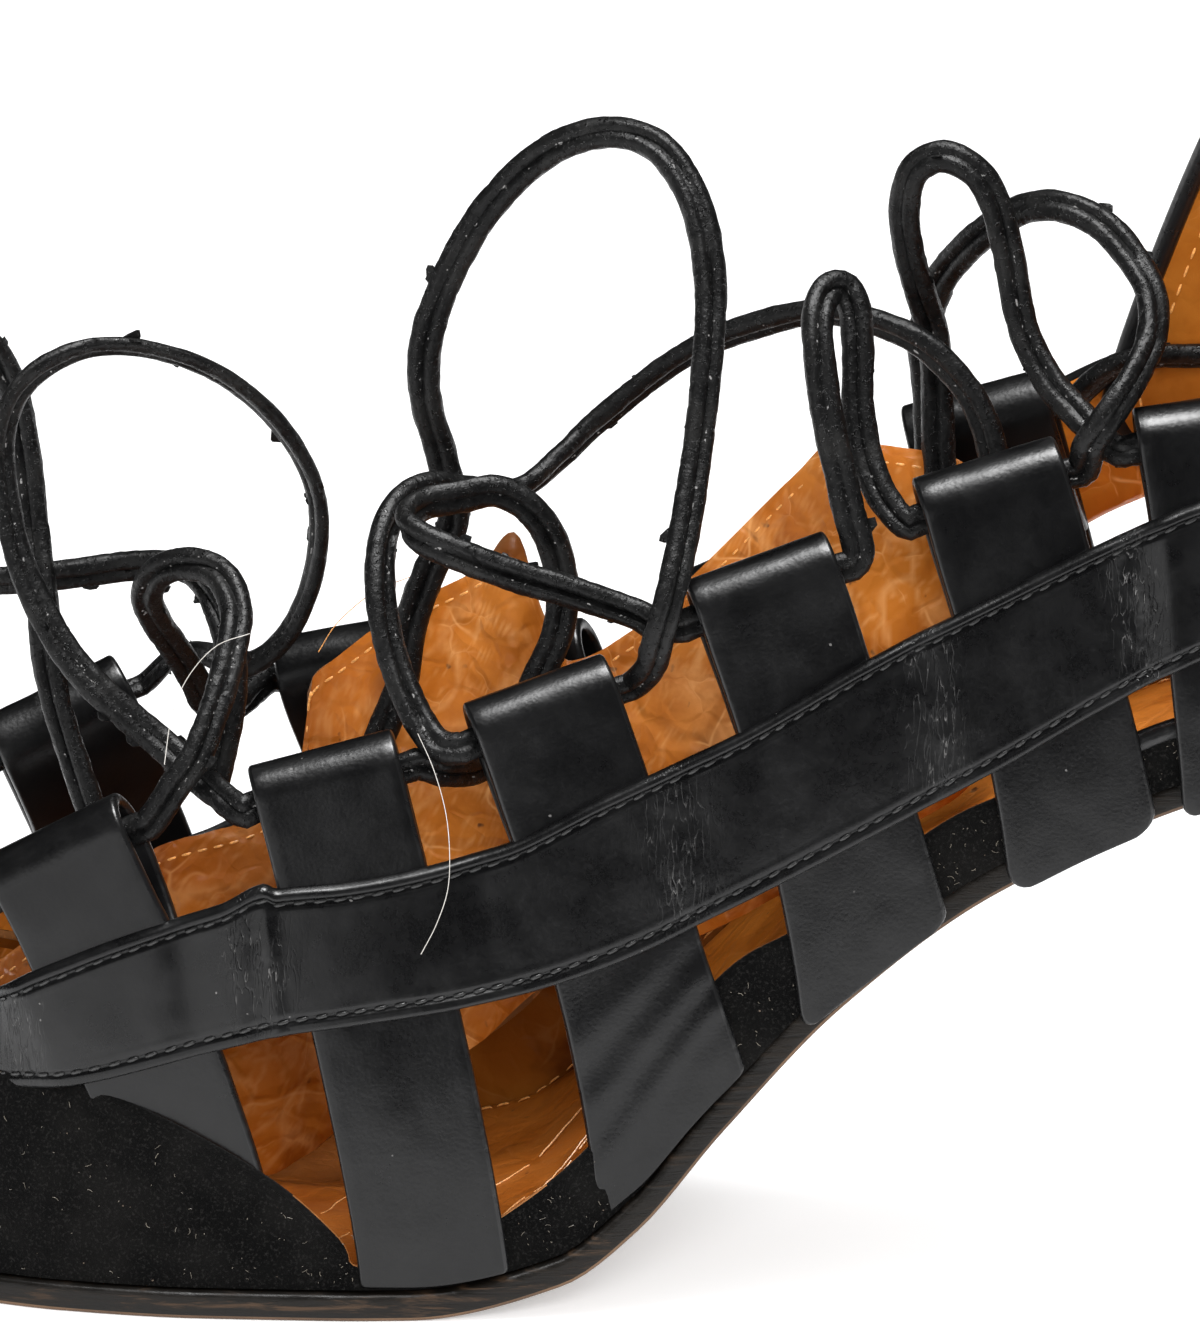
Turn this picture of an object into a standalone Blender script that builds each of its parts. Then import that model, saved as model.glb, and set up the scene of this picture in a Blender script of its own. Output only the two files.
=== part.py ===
"""Lace-up pump: a left shoe with an open cage of straps on a high heel.

All lengths in the tables are millimetres and are scaled to metres when a mesh is made.
X runs from the toe (-) to the heel (+), -Y is the outer side of the foot, +Z is up,
and the shoe stands on the plane Z = 0.
"""
import math

import bmesh
import bpy
from mathutils import Vector

MM = 0.001

# ---------------------------------------------------------------- driving sizes (mm)
TOE_X = -118.0            # toe tip of the outsole
HEEL_X = 118.0            # back of the heel seat
TOE_ROUND = 11.0          # plan radius of the toe tip
HEEL_ROUND = 25.5         # plan radius of the heel seat
SOLE_THICK = 3.2
SOLE_CHAMFER = 0.7
INSOLE_THICK = 1.8
INSOLE_SHARE = 0.985      # the insole is this share of the last's width
INSOLE_END = 0.9          # it stops this far inside the last at toe and heel
GAP = 0.3                 # clearance between neighbouring pieces
SECTIONS = 41             # evenly spaced sections along the shoe
END_STEPS = (0.1, 0.8, 2.2, 4.6, 8.0)   # sections that round the toe and the heel
BALL_SKEW = 0.087         # the ball line runs forward on the inner side
SKEW_SIDE = -33.0         # the outer edge, where the sole table is true
SKEW_ENDS = (20.0, 60.0)  # the skew fades out between these stations

WALL = 1.7                # suede and lining
INSIDE_DROP = 12.0        # the hollow goes this far down through the open underside
RIM_FORWARD = 3.0         # the low wall's rim lies this much further forward on the inner side
OPEN_TOP = 190.0          # the open top is cut up to this height
OPEN_SIDE = 70.0          # and out to this far from the middle on both sides
OPEN_LAP = 0.013          # the cuts of the two sides overlap by this much at the middle
UNDERSIDE = (-0.65, -0.25, 0.25, 0.65)   # points under the last, as shares of its half width
LEAN_FADE = 10.0          # the lean of the back sets in over this height
STRAP_WIDTH = 17.4
STRAP_IN = 0.8            # inner face of a strap, measured out from the last
STRAP_OUT = 2.8           # outer face
STRAP_BULGE = 0.6
STRAP_SWEEP = 1.25        # exponents of a strap's path: it leans forward, then inwards
STRAP_LEAN = 1.8
STRAP_FOOT = 1.6          # the foot follows the sole up to the inverse of this share
TOE_TAPER = 0.2           # plan slope of the foremost straps
LOOP_RADIUS = 4.7         # outer radius of the fold at the top of a strap
LOOP_WALL = 1.5
LOOP_DROP = 20.0          # the folded end is joined this far below the top
LOOP_TIP = 5.5            # the hollow of the fold ends this far above the join
BAND_IN = 2.3
BAND_OUT = 4.0
BAND_TUCK = 1.3           # its ends pass under the toe cap and the quarter, this far in
BAND_END = 4.0            # length of its tucked end at the quarter
BAND_LAP = 9.7            # it lies over the foremost strap to this far from the strap's middle

HEEL_BREAST_X = 71.0
HEEL_INSET = 1.5          # the heel's seat lies this far inside the sole at the back
HEEL_SIDE_INSET = 2.5
HEEL_SLIM = 2.4           # exponents of its curves: breast and sides, then the back
HEEL_BACK_SLIM = 1.7
HEEL_BLUNT = 2.6          # flattens its front face in plan
HEEL_TIP_HEIGHT = 5.0
HEEL_TIP_FRONT = 95.0
HEEL_TIP_BACK = 110.0
HEEL_TIP_HALF = 7.0

TONGUE_THICK = 1.4
TONGUE_BELLY = 2.0        # it bows towards the outer side
TONGUE_WAVE = 0.8         # height of its waves, and how fast they turn along and across
TONGUE_WAVE_ALONG = 0.32
TONGUE_WAVE_ACROSS = 4.0

SHOE_SHIFT = (-1.52, 0.23, 0.0)   # brings the middle of the shoe over the origin

# half: half width, centre: sideways shift of the middle, rise: height of the sole's underside
SOLE = (
    ("x", "half", "centre", "rise"),
    (-118, 11.0, 7.5, 5.0),
    (-108, 15.5, 6.4, 2.7),
    (-96, 22.6, 4.8, 0.9),
    (-84, 29.0, 2.9, 0.1),
    (-78, 31.8, 2.0, 0.0),
    (-70, 34.6, 1.2, 0.0),
    (-54, 37.5, 0.4, 0.0),
    (-38, 37.9, -0.4, 0.0),
    (-30, 37.3, -0.9, 0.0),
    (-12, 33.9, -2.4, 3.6),
    (-3, 31.2, -2.7, 9.6),
    (7, 27.5, -2.7, 20.3),
    (21, 24.2, -2.3, 34.2),
    (39, 22.0, -1.5, 47.2),
    (62, 22.0, -0.5, 57.8),
    (88, 25.3, 0.0, 64.6),
    (118, 25.5, 0.0, 70.6),
)

# crown: top of the last, over: how far the last stands out past the sole's edge,
# square: exponent of the cross-section, 2 is an ellipse
LAST = (
    ("x", "crown", "over", "square"),
    (-118, 15.5, -3.2, 2.0),
    (-106, 24.5, -3.2, 2.1),
    (-96, 30.0, -3.1, 2.2),
    (-86, 34.6, -3.0, 2.4),
    (-76, 39.5, -3.0, 2.7),
    (-60, 47.0, -3.0, 3.0),
    (-30, 62.0, -3.0, 2.8),
    (-2, 78.5, -2.8, 2.6),
    (12, 89.5, -0.2, 2.6),
    (25, 100.0, 0.0, 2.5),
    (60, 130.0, 0.2, 2.5),
    (90, 158.0, -0.8, 2.5),
    (118, 160.0, -1.8, 2.5),
)

# The back of the last bulges over the heel and leans in at the ankle.
BACK_CURVE = (
    ("x", "shift"),
    (60, 0.0),
    (80, 2.6),
    (96, 3.2),
    (118, 0.5),
    (136, -4.5),
    (170, -8.0),
)
BACK_CURVE_FROM = 70.0

# near: top line of suede wall and quarter on the outer side; x and height
CAP_LINE = (
    (-90, 60.0), (-89, 37.5), (-85, 33.2), (-77, 29.4), (-69, 26.7), (-56, 21.5),
    (-45, 15.2), (-38, 8.9), (-36, 5.6), (-28, 6.4),
)
WALL_LINE = (
    (-19, 10.8), (-7, 20.4), (7, 38.6), (17, 44.6), (32, 55.2), (41, 59.4), (56, 66.0),
    (63, 68.4),
)
OUTER_QUARTER = (
    (73, 73.0), (77, 82.0), (79, 100.0), (83, 120.0), (86, 128.5), (91, 133.0), (100, 134.5),
    (126, 138.0),
)
INNER_QUARTER = (
    (70, 71.5), (73, 78.0), (73, 84.0), (62, 84.5), (53, 93.0), (54, 101.7), (62, 125.0),
    (65, 131.0), (70, 133.5), (100, 134.5), (126, 138.0),
)

# Each strap runs from its foot at the sole up to the top of its lace loop.
# low: height of the foot above the sole's top, tuck: how far in from the last's face
OUTER_STRAPS = (
    ("name", "foot_x", "low", "tuck", "top_x", "top_z", "top_half"),
    ("a", -53.3, 9.0, -3.65, -71.3, 56.0, 27.0),
    ("b", -26.5, 0.4, 0.0, -39.8, 65.8, 27.0),
    ("c", 0.6, 0.4, 0.0, -14.9, 73.9, 25.5),
    ("d", 24.2, -2.8, 0.6, 10.7, 87.8, 23.0),
    ("e", 48.4, -4.2, 0.6, 37.0, 98.6, 19.5),
    ("f", 68.6, -4.0, 0.7, 62.7, 105.4, 18.5),
)
INNER_STRAPS = (
    ("name", "foot_x", "low", "tuck", "top_x", "top_z", "top_half"),
    ("a", -55.3, 9.0, -3.65, -72.5, 59.5, 27.0),
    ("b", -24.4, 0.4, 0.0, -37.0, 67.8, 26.0),
    ("c", -2.6, 0.4, 0.0, -17.4, 66.5, 25.5),
    ("d", 24.5, -2.8, 0.6, 11.0, 78.5, 26.0),
    ("e", 46.5, -4.2, 0.6, 36.0, 97.2, 23.5),
)

# low and high: edges of the band on the outer side, inner: its extra height on the inner side
BAND = (
    ("x", "low", "high", "inner"),
    (-81, 23.8, 30.5, 0.0),
    (-77, 24.6, 37.0, -2.0),
    (-68, 26.6, 42.0, -6.0),
    (-54, 30.7, 47.4, -7.0),
    (-45, 33.3, 50.4, -6.0),
    (-36, 34.9, 51.4, -5.0),
    (-19, 37.7, 55.4, -2.0),
    (-7, 41.1, 61.0, 0.0),
    (9, 48.3, 68.4, 2.5),
    (24, 55.8, 76.7, 6.0),
    (39, 63.5, 83.9, 9.0),
    (52, 71.0, 90.1, 10.0),
    (63, 76.4, 94.6, 9.0),
    (84, 83.0, 99.0, 6.0),
)

# A section of the tongue every few steps: lower and upper edge, sideways place and height
TONGUE = (
    ("x", "low_y", "low_z", "high_y", "high_z"),
    (-84, 3.0, 6.2, 5.0, 27.0),
    (-70, 4.0, 6.0, 7.0, 37.0),
    (-59, 4.0, 6.0, 8.0, 45.0),
    (-46, 4.0, 6.4, 8.5, 49.0),
    (-42, 3.7, 8.6, 11.0, 53.0),
    (-41.2, 3.5, 9.0, 13.0, 63.6),
    (-38, 3.0, 12.0, 14.0, 66.3),
    (-29, 3.0, 18.0, 14.0, 73.0),
    (-21, 3.0, 23.0, 13.5, 77.4),
    (-17.5, 3.0, 26.5, 13.0, 81.6),
    (-14.4, 2.8, 29.2, 12.8, 72.5),
    (-11, 2.5, 31.0, 12.5, 66.3),
    (-3, 1.5, 33.0, 12.5, 70.3),
    (3, 0.5, 35.5, 12.0, 76.0),
    (9, 0.0, 38.5, 12.0, 82.0),
    (16, 0.0, 42.6, 11.0, 89.5),
    (20, 0.0, 44.5, 9.5, 93.3),
    (26, 0.0, 48.2, 9.0, 92.9),
    (34, 0.0, 53.0, 8.5, 91.4),
    (38, 1.0, 57.5, 8.0, 87.0),
)

LACE_WIDE = 3.6
LACE_STEP = 7.5           # spacing of the points on a lace's centre line
LACE_LEAD = 2.0           # a lace leaves its loop straight for this far

# Each lace: the loop end it starts from, the points it passes, the loop end it runs to.
# An empty name is a loose tip inside the throat.
LACES = {
    "lace_arc_front": ("outer b front", (
        (-53.9, -21, 60.8), (-58.5, -17.5, 64.2), (-65.5, -16, 70), (-70.1, -14, 75.3),
        (-74.2, -11, 83), (-76.2, -8, 90.6), (-76.5, -5, 98.2), (-73.6, -3, 103.7),
        (-67.2, -1, 106.8), (-59.7, 1, 106.3), (-51.5, 4, 102.6), (-44.6, 8, 95.6),
        (-40.5, 11, 86.8), (-40.6, 13.5, 77.4), (-43.6, 15, 69.2), (-48.5, 17.5, 64.5),
        (-53.8, 21.3, 65), (-57.4, 26.6, 63),
    ), "inner a back"),
    "lace_hook_front": ("outer a back", (
        (-56.3, -25.3, 61), (-53.9, -24.5, 64.4), (-51.6, -21, 69.9), (-49.8, -16, 75.7),
        (-49.7, -12, 79.2), (-51.6, -8, 81.8), (-55.2, -5, 82.2), (-58.6, -2.5, 80.6),
        (-60, 0.5, 77), (-58.8, 4, 72.8), (-56.6, 7.5, 68.6), (-54.6, 10.5, 64.4),
        (-53.2, 13.5, 60.8), (-51.4, 17, 58.8), (-49.6, 20.5, 59),
    ), "inner b front"),
    "lace_end_outer": ("outer a front", (
        (-84, -22.5, 46.5), (-89, -20.5, 52), (-92.5, -18, 61), (-94.5, -14, 75),
        (-92, -9, 92), (-87, -4, 103.5), (-80.5, 1, 107.8), (-76.2, 4, 102.4),
        (-74.3, 4, 94), (-73.3, 2, 86), (-72.2, -2, 78.2), (-71.3, -5, 69),
        (-69, -8, 61.2), (-66.4, -10.5, 54), (-65, -12, 48),
    ), ""),
    "lace_end_inner": ("inner a front", (
        (-84, 24, 50.5), (-88, 21.5, 54), (-90.5, 17, 61.5), (-88.5, 12, 71), (-82, 9, 76),
        (-74.8, 7.5, 77.2), (-67.8, 7, 78.2), (-60.8, 6.5, 79.2), (-55, 4, 79.2),
        (-51.4, -2, 75.3), (-50.1, -6, 68.5), (-51.1, -9, 62), (-52.3, -11.5, 56.8),
    ), ""),
    "lace_ring_middle": ("outer b back", (
        (-25, -24.2, 62.2), (-21, -19, 61.5), (-17, -13.8, 64.2), (-14.6, -11.5, 70),
        (-12.2, -10, 75.5), (-11.8, -9, 81.8), (-14.3, -9, 88.4), (-19, -9, 91.8),
        (-23.6, -10, 91.4), (-27.5, -11.5, 91), (-29.6, -15, 90), (-28.2, -18.8, 88.8),
        (-23, -20.6, 86.8), (-17, -20.8, 84.6), (-10.8, -21, 82.8), (-3.5, -21.5, 80.4),
        (-0.8, -23.3, 79.4),
    ), "outer d front"),
    "lace_arc_middle": ("outer c front", (
        (-26.4, -26.5, 66.2), (-29, -23.8, 69.7), (-31.5, -20.3, 75.4), (-32.8, -16.8, 82),
        (-32.4, -12, 87.4), (-30.2, -7, 90.4), (-27, -3.8, 91.2), (-23.7, -1.2, 90.3),
        (-17.2, 4, 88.8), (-12, 8, 91.7), (-7.3, 11, 95.6), (3.1, 11, 103.6),
        (14.7, 7, 108.9), (21.7, 3, 109.9), (29.9, -1.5, 107.7), (35.7, -4, 102),
        (38.2, -6, 95.6), (39, -8, 88), (39.4, -8, 80),
    ), ""),
    "lace_arc_tall": ("outer c back", (
        (-1.6, -27.2, 75.3), (-0.6, -29.4, 79.5), (0.8, -29, 84.5), (2.4, -25, 91),
        (3.9, -20, 99.5), (5.2, -15, 110.3), (5.4, -11, 117.7), (3.9, -7, 125.1),
        (0.2, -3, 130.7), (-5, 0, 132.4), (-10.8, 2, 131), (-16.1, 4, 127.1),
        (-21.3, 5, 120.9), (-25.4, 5, 113.1), (-27.7, 4.5, 105.6), (-27.5, 4.5, 99),
        (-25.8, 5.5, 92.6), (-24.4, 5.5, 85), (-27, 5.5, 79.2), (-29.3, 6, 72.5),
        (-30.4, 6, 65.3), (-33, 5, 58.8), (-35, 3, 52.8),
    ), ""),
    "lace_pin_back": ("outer d back", (
        (22.5, -22.2, 88.3), (21.5, -21.5, 92), (20.3, -20, 97), (19, -18.2, 102.6),
        (18.1, -16.2, 108.6), (17.8, -13.4, 113.2), (18.8, -10.2, 115.8), (20.8, -8.6, 116),
        (22.2, -9.8, 113.4), (22.5, -12, 108.8), (22.5, -14.2, 103.2), (23.4, -16.4, 98),
        (25.2, -18.8, 93.8),
    ), "outer e front"),
    "lace_arc_back": ("outer e back", (
        (49.2, -20.6, 100.2), (51.5, -20.8, 103.8), (54.6, -17.5, 107.8), (56.6, -13, 111.9),
        (56, -9, 116.6), (51.5, -4, 121.8), (46.3, -1, 123.8), (41.2, 3, 122.4),
        (35.8, 8, 117.3), (32, 13, 111.2), (30.3, 13.5, 104.8), (30.8, 13.5, 98),
        (31.2, 12.9, 91), (31.5, 13.4, 84),
    ), ""),
    "lace_bow_back": ("outer f front", (
        (50.7, -14.6, 99.4), (47.9, -11, 101.6), (44.6, -8, 104.8), (41.7, -5, 110.2),
        (40.1, -3, 118), (38.4, -2.5, 124.6), (36, -2, 128.3), (32.4, -1, 129.8),
        (29.1, 0, 127.9), (27.9, 1, 123), (28.5, 2.5, 117.6), (29.8, 4, 112.5),
        (31.3, 5, 107.4), (31.8, 5, 101.5), (32, 3, 94), (32.5, 1, 87),
    ), ""),
    "lace_top_crossing": ("inner e back", (
        (50, 17.9, 98.3), (52.8, 16.1, 100.9), (57, 14.7, 102.2), (62.4, 15.5, 102.1),
        (70, 13.5, 103.3), (76.5, 9, 105.4), (79.3, 1, 107), (79, -8, 106.8),
        (77.2, -14.2, 104.4),
    ), "outer f back"),
}

OUTER = -1                # side of the foot, as the sign of Y
INNER = 1


# ---------------------------------------------------------------- numbers
def column(table, name):
    """A smooth function of x through one column of a table, with no overshoot."""
    place = table[0].index(name)
    xs = [row[0] for row in table[1:]]
    ys = [row[place] for row in table[1:]]
    steps = [(ys[i + 1] - ys[i]) / (xs[i + 1] - xs[i]) for i in range(len(xs) - 1)]
    slopes = [steps[0]]
    for before, after in zip(steps, steps[1:]):
        flat = before * after <= 0
        slopes.append(0.0 if flat else 2 * before * after / (before + after))
    slopes.append(steps[-1])

    def value(x):
        if x <= xs[0]:
            return ys[0]
        if x >= xs[-1]:
            return ys[-1]
        i = max(k for k in range(len(xs) - 1) if xs[k] <= x)
        width = xs[i + 1] - xs[i]
        t = (x - xs[i]) / width
        rest = 1 - t
        return (ys[i] * (1 + 2 * t) * rest * rest + slopes[i] * width * t * rest * rest
                + ys[i + 1] * t * t * (3 - 2 * t) - slopes[i + 1] * width * t * t * rest)

    return value


def lerp(a, b, t):
    return a + (b - a) * t


def spread(first, last, count):
    return [lerp(first, last, i / (count - 1)) for i in range(count)]


def stations(first, last):
    """Shared sections from first to last, so that sole, insole and upper bend alike."""
    step = (HEEL_X - TOE_X) / (SECTIONS - 1)
    evens = [TOE_X + step * i for i in range(SECTIONS)]
    ends = [first + d for d in END_STEPS] + [last - d for d in END_STEPS]
    inside = [x for x in evens if first + END_STEPS[-1] + 1 < x < last - END_STEPS[-1] - 1]
    return sorted(ends + inside)


sole_half_raw = column(SOLE, "half")
sole_centre = column(SOLE, "centre")
sole_rise = column(SOLE, "rise")
last_crown = column(LAST, "crown")
last_over = column(LAST, "over")
last_square = column(LAST, "square")
back_shift = column(BACK_CURVE, "shift")


def end_factor(x, grow=0.0):
    """Rounds the toe and the heel seat in plan; grow moves both tips outwards."""
    factor = 1.0
    for tip, radius in ((TOE_X - grow, TOE_ROUND + grow), (HEEL_X + grow, HEEL_ROUND + grow)):
        away = abs(x - tip)
        if away < radius:
            factor = math.sqrt(max(0.0, 1 - ((radius - away) / radius) ** 2))
    return factor


def skewed(x, y):
    """The station whose height a point of the sole takes: the bend is oblique."""
    start, end = SKEW_ENDS
    fade = min(1.0, max(0.0, (end - x) / (end - start)))
    return x + BALL_SKEW * (y - SKEW_SIDE) * fade


def steepness(x):
    slope = (sole_rise(x + 1) - sole_rise(x - 1)) / 2
    return math.sqrt(1 + slope * slope)


def above_sole(x, y, height):
    """Height of a surface that lies this far above the sole's underside, square to it."""
    station = skewed(x, y)
    return sole_rise(station) + height * steepness(station)


def last_half(x, grow=0.0):
    return (sole_half_raw(x) + last_over(x) + grow) * end_factor(x, last_over(x) + grow)


def last_side(x, z, side, out=0.0):
    """Point on the side of the last at one height, moved outwards."""
    half = last_half(x)
    foot = above_sole(x, side * half, SOLE_THICK)
    tall = last_crown(x) - foot
    level = min(1.0, max(0.0, (z - foot) / tall))
    power = last_square(x)
    return side * (half * (1 - level ** power) ** (1 / power) + out) + sole_centre(x)


# ---------------------------------------------------------------- objects
def material(name, color, roughness, metallic=0.0):
    made = bpy.data.materials.new(name)
    made.use_nodes = True
    shader = made.node_tree.nodes["Principled BSDF"]
    shader.inputs["Base Color"].default_value = (*color, 1.0)
    shader.inputs["Roughness"].default_value = roughness
    shader.inputs["Metallic"].default_value = metallic
    made.diffuse_color = (*color, 1.0)
    return made


def mesh_object(name, points, faces, home, surface):
    """A mesh object from points in millimetres."""
    mesh = bpy.data.meshes.new(name)
    mesh.from_pydata([Vector(point) * MM for point in points], [], faces)
    mesh.validate()
    tidy = bmesh.new()
    tidy.from_mesh(mesh)
    bmesh.ops.remove_doubles(tidy, verts=tidy.verts, dist=0.00001)
    bmesh.ops.recalc_face_normals(tidy, faces=tidy.faces)
    tidy.to_mesh(mesh)
    tidy.free()
    made = bpy.data.objects.new(name, mesh)
    home.objects.link(made)
    made.parent = SHOE
    mesh.materials.append(surface)
    mesh.shade_smooth()
    mesh.set_sharp_from_angle(angle=math.radians(35))
    return made


def cutter_object(name, points, faces):
    made = mesh_object(name, points, faces, CUTTERS, CUTTER_LOOK)
    made.hide_render = True
    made.display_type = "WIRE"
    return made


def combine(target, other, operation):
    step = target.modifiers.new(operation.title() + " " + other.name, "BOOLEAN")
    step.operation = operation
    step.object = other
    step.solver = "EXACT"


def ring_faces(rings, around, rungs=False):
    """Faces of a closed loft: quads from ring to ring and a cap at each end.

    With rungs, a cap is a ladder between the two halves of its ring, for bent end rings.
    """
    faces = []
    for ring in range(rings - 1):
        for i in range(around):
            j = (i + 1) % around
            a = ring * around
            b = a + around
            faces.append((a + i, a + j, b + j, b + i))
    for first in (0, (rings - 1) * around):
        last = first + around - 1
        if rungs:
            faces.append((*range(first, first + 4), *range(last - 3, last + 1)))
            faces += [(first + i, first + i + 1, last - i - 1, last - i)
                      for i in range(3, around // 2 - 1)]
        else:
            faces.append(tuple(range(first, last + 1)))
    return faces


def prism(name, outline, near, far):
    """A side outline of x and height carried across from one y to another."""
    points = [(x, near, z) for x, z in outline] + [(x, far, z) for x, z in outline]
    return cutter_object(name, points, ring_faces(2, len(outline)))


def plate(name, places, half, low, high, home, surface, across=3, edge=0.0):
    """A thin sheet along the shoe: sections of a lower and an upper row of points."""
    points = []
    for x in places:
        reach = half(x)
        middle = sole_centre(x)
        rows = [middle + reach * t for t in spread(-1, 1, across)]
        inset = min(edge, reach * 0.5)
        tuck = [middle + (reach - inset) * t for t in spread(-1, 1, across)]
        points += [(x, y, low(x, y)) for y in tuck]
        points += [(x, rows[-1], low(x, rows[-1]) + inset)] if edge else []
        points += [(x, y, high(x, y)) for y in reversed(rows)]
        points += [(x, rows[0], low(x, rows[0]) + inset)] if edge else []
    around = 2 * across + (2 if edge else 0)
    return mesh_object(name, points, ring_faces(len(places), around), home, surface)


# ---------------------------------------------------------------- sole and heel
def sole_half(x):
    return sole_half_raw(x) * end_factor(x)


def make_outsole():
    def low(x, y):
        return above_sole(x, y, 0.0)

    def high(x, y):
        return above_sole(x, y, SOLE_THICK)

    return plate("outsole", stations(TOE_X, HEEL_X), sole_half, low, high, PARTS, SOLE_LOOK,
                 edge=SOLE_CHAMFER)


def make_insole():
    def half(x):
        return max(0.4, INSOLE_SHARE * last_half(x) - 2 * GAP)

    def low(x, y):
        return above_sole(x, y, SOLE_THICK + GAP)

    def high(x, y):
        return above_sole(x, y, SOLE_THICK + GAP + INSOLE_THICK)

    front = TOE_X - last_over(TOE_X) + INSOLE_END
    back = HEEL_X + last_over(HEEL_X) - INSOLE_END
    return plate("insole", stations(front, back), half, low, high, PARTS, LINING_LOOK)


def make_heel():
    """A slim heel: the seat's outline under the sole shrinks to the small top piece."""
    around = 20
    levels = spread(0.0, 1.0, 9)
    points = []
    seat_back = HEEL_X - HEEL_INSET
    for level in levels:
        slim = 1 - (1 - level) ** HEEL_SLIM
        front = lerp(HEEL_BREAST_X, HEEL_TIP_FRONT, slim)
        back = lerp(seat_back, HEEL_TIP_BACK, 1 - (1 - level) ** HEEL_BACK_SLIM)
        half = lerp(HEEL_ROUND - HEEL_SIDE_INSET, HEEL_TIP_HALF, slim)
        for i in range(around):
            turn = 2 * math.pi * i / around
            along = math.cos(turn)
            middle = (front + back) / 2
            reach = (back - front) / 2
            squash = 1.0 if along > 0 else HEEL_BLUNT
            bow = abs(along) ** (1 / squash) * math.copysign(1, along)
            x = middle + reach * bow
            y = half * math.sin(turn)
            top = above_sole(x, y, 0.0) - GAP
            points.append((x, y, lerp(top, HEEL_TIP_HEIGHT + GAP, level)))
    return mesh_object("heel", points, ring_faces(len(levels), around), PARTS, HEEL_LOOK)


def make_heel_tip():
    around = 20
    points = []
    for z in (0.0, HEEL_TIP_HEIGHT):
        for i in range(around):
            turn = 2 * math.pi * i / around
            along = math.cos(turn)
            squash = 1.0 if along > 0 else HEEL_BLUNT
            bow = abs(along) ** (1 / squash) * math.copysign(1, along)
            middle = (HEEL_TIP_FRONT + HEEL_TIP_BACK) / 2
            reach = (HEEL_TIP_BACK - HEEL_TIP_FRONT) / 2
            points.append((middle + reach * bow, HEEL_TIP_HALF * math.sin(turn), z))
    return mesh_object("heel_tip", points, ring_faces(2, around), PARTS, TIP_LOOK)


# ---------------------------------------------------------------- upper
def last_form(name, grow, drop=0.0):
    """The last as a closed form, grown outwards by one amount and dropped straight down."""
    over = 22
    front = TOE_X - last_over(TOE_X) - grow
    back = HEEL_X + last_over(HEEL_X) + grow
    points = []
    places = stations(front, back)
    for station in places:
        half = last_half(station, grow)
        middle = sole_centre(station)
        crown = last_crown(station) + grow
        power = last_square(station)
        section = []
        for i in range(over):
            turn = math.pi * i / (over - 1)
            across = math.copysign(abs(math.cos(turn)) ** (2 / power), -math.cos(turn))
            y = middle + half * across
            bottom = above_sole(station, y, SOLE_THICK) + GAP
            z = lerp(bottom, crown, math.sin(turn) ** (2 / power))
            lean = max(0.0, station - BACK_CURVE_FROM) / (HEEL_X - BACK_CURVE_FROM)
            lean = lean ** 2 * min(1.0, (z - bottom) / LEAN_FADE)
            section.append((station + back_shift(z) * lean, y, z))
        if drop:
            first, last = section[0], section[-1]
            section.insert(0, (first[0], first[1] + WALL / 4, first[2] - drop))
            section.append((last[0], last[1] - WALL / 4, last[2] - drop))
        else:
            under = [(station, middle + half * t) for t in UNDERSIDE]
            under = [(x, y, above_sole(x, y, SOLE_THICK) + GAP) for x, y in under]
            section = [under[1], under[0], *section, under[3], under[2]]
        points += section
    around = len(points) // len(places)
    return cutter_object(name, points, ring_faces(len(places), around, rungs=True))


def rim_outline(side):
    """Outline of all that is open above the toe cap, the low wall and the quarter."""
    quarter = OUTER_QUARTER if side == OUTER else INNER_QUARTER
    shift = -BALL_SKEW * 2 * abs(SKEW_SIDE) - RIM_FORWARD if side == INNER else 0.0
    start, end = SKEW_ENDS
    wall = []
    for x, z in WALL_LINE:
        fade = min(1.0, max(0.0, (end - x) / (end - start)))
        wall.append((x + shift * fade, z))
    line = [*CAP_LINE, *wall, *quarter]
    return [*line, (line[-1][0], OPEN_TOP), (line[0][0], OPEN_TOP)]


def make_upper():
    upper = last_form("upper", WALL)
    CUTTERS.objects.unlink(upper)
    PARTS.objects.link(upper)
    upper.hide_render = False
    upper.display_type = "TEXTURED"
    upper.data.materials.clear()
    upper.data.materials.append(UPPER_LOOK)
    combine(upper, last_form("inside of the upper", 0.0, INSIDE_DROP), "DIFFERENCE")
    for side, name in ((OUTER, "open top, outer side"), (INNER, "open top, inner side")):
        opening = prism(name, rim_outline(side), side * OPEN_SIDE, -side * OPEN_LAP)
        combine(upper, opening, "DIFFERENCE")
    for side, rows in ((OUTER, OUTER_STRAPS), (INNER, INNER_STRAPS)):
        for row, heading in zip(rows[1:], cage_headings(side, rows)):
            combine(upper, make_strap(row, side, heading), "UNION")
        combine(upper, make_band(side, rows), "UNION")
    return upper


def strap_path(row, side):
    """Centre line of a strap, as a function from 0 at the foot to 1 at the top."""
    _, foot_x, low, tuck, top_x, top_z, top_half = row
    half = last_half(foot_x)
    foot_y = sole_centre(foot_x) + side * (half + tuck)
    foot_z = above_sole(foot_x, foot_y, SOLE_THICK) + GAP + low
    top_y = sole_centre(top_x) + side * top_half

    def point(t):
        bulge = side * STRAP_BULGE * math.sin(math.pi * min(1.0, t * 1.4))
        return Vector((lerp(foot_x, top_x, t ** STRAP_SWEEP),
                       lerp(foot_y, top_y, t ** STRAP_LEAN) + bulge, lerp(foot_z, top_z, t)))

    return point


def strap_side(row, side, z):
    """Where a strap's centre line passes one height."""
    point = strap_path(row, side)
    low, high = point(0.0).z, point(1.0).z
    return point(min(1.0, max(0.0, (z - low) / (high - low))))


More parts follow.
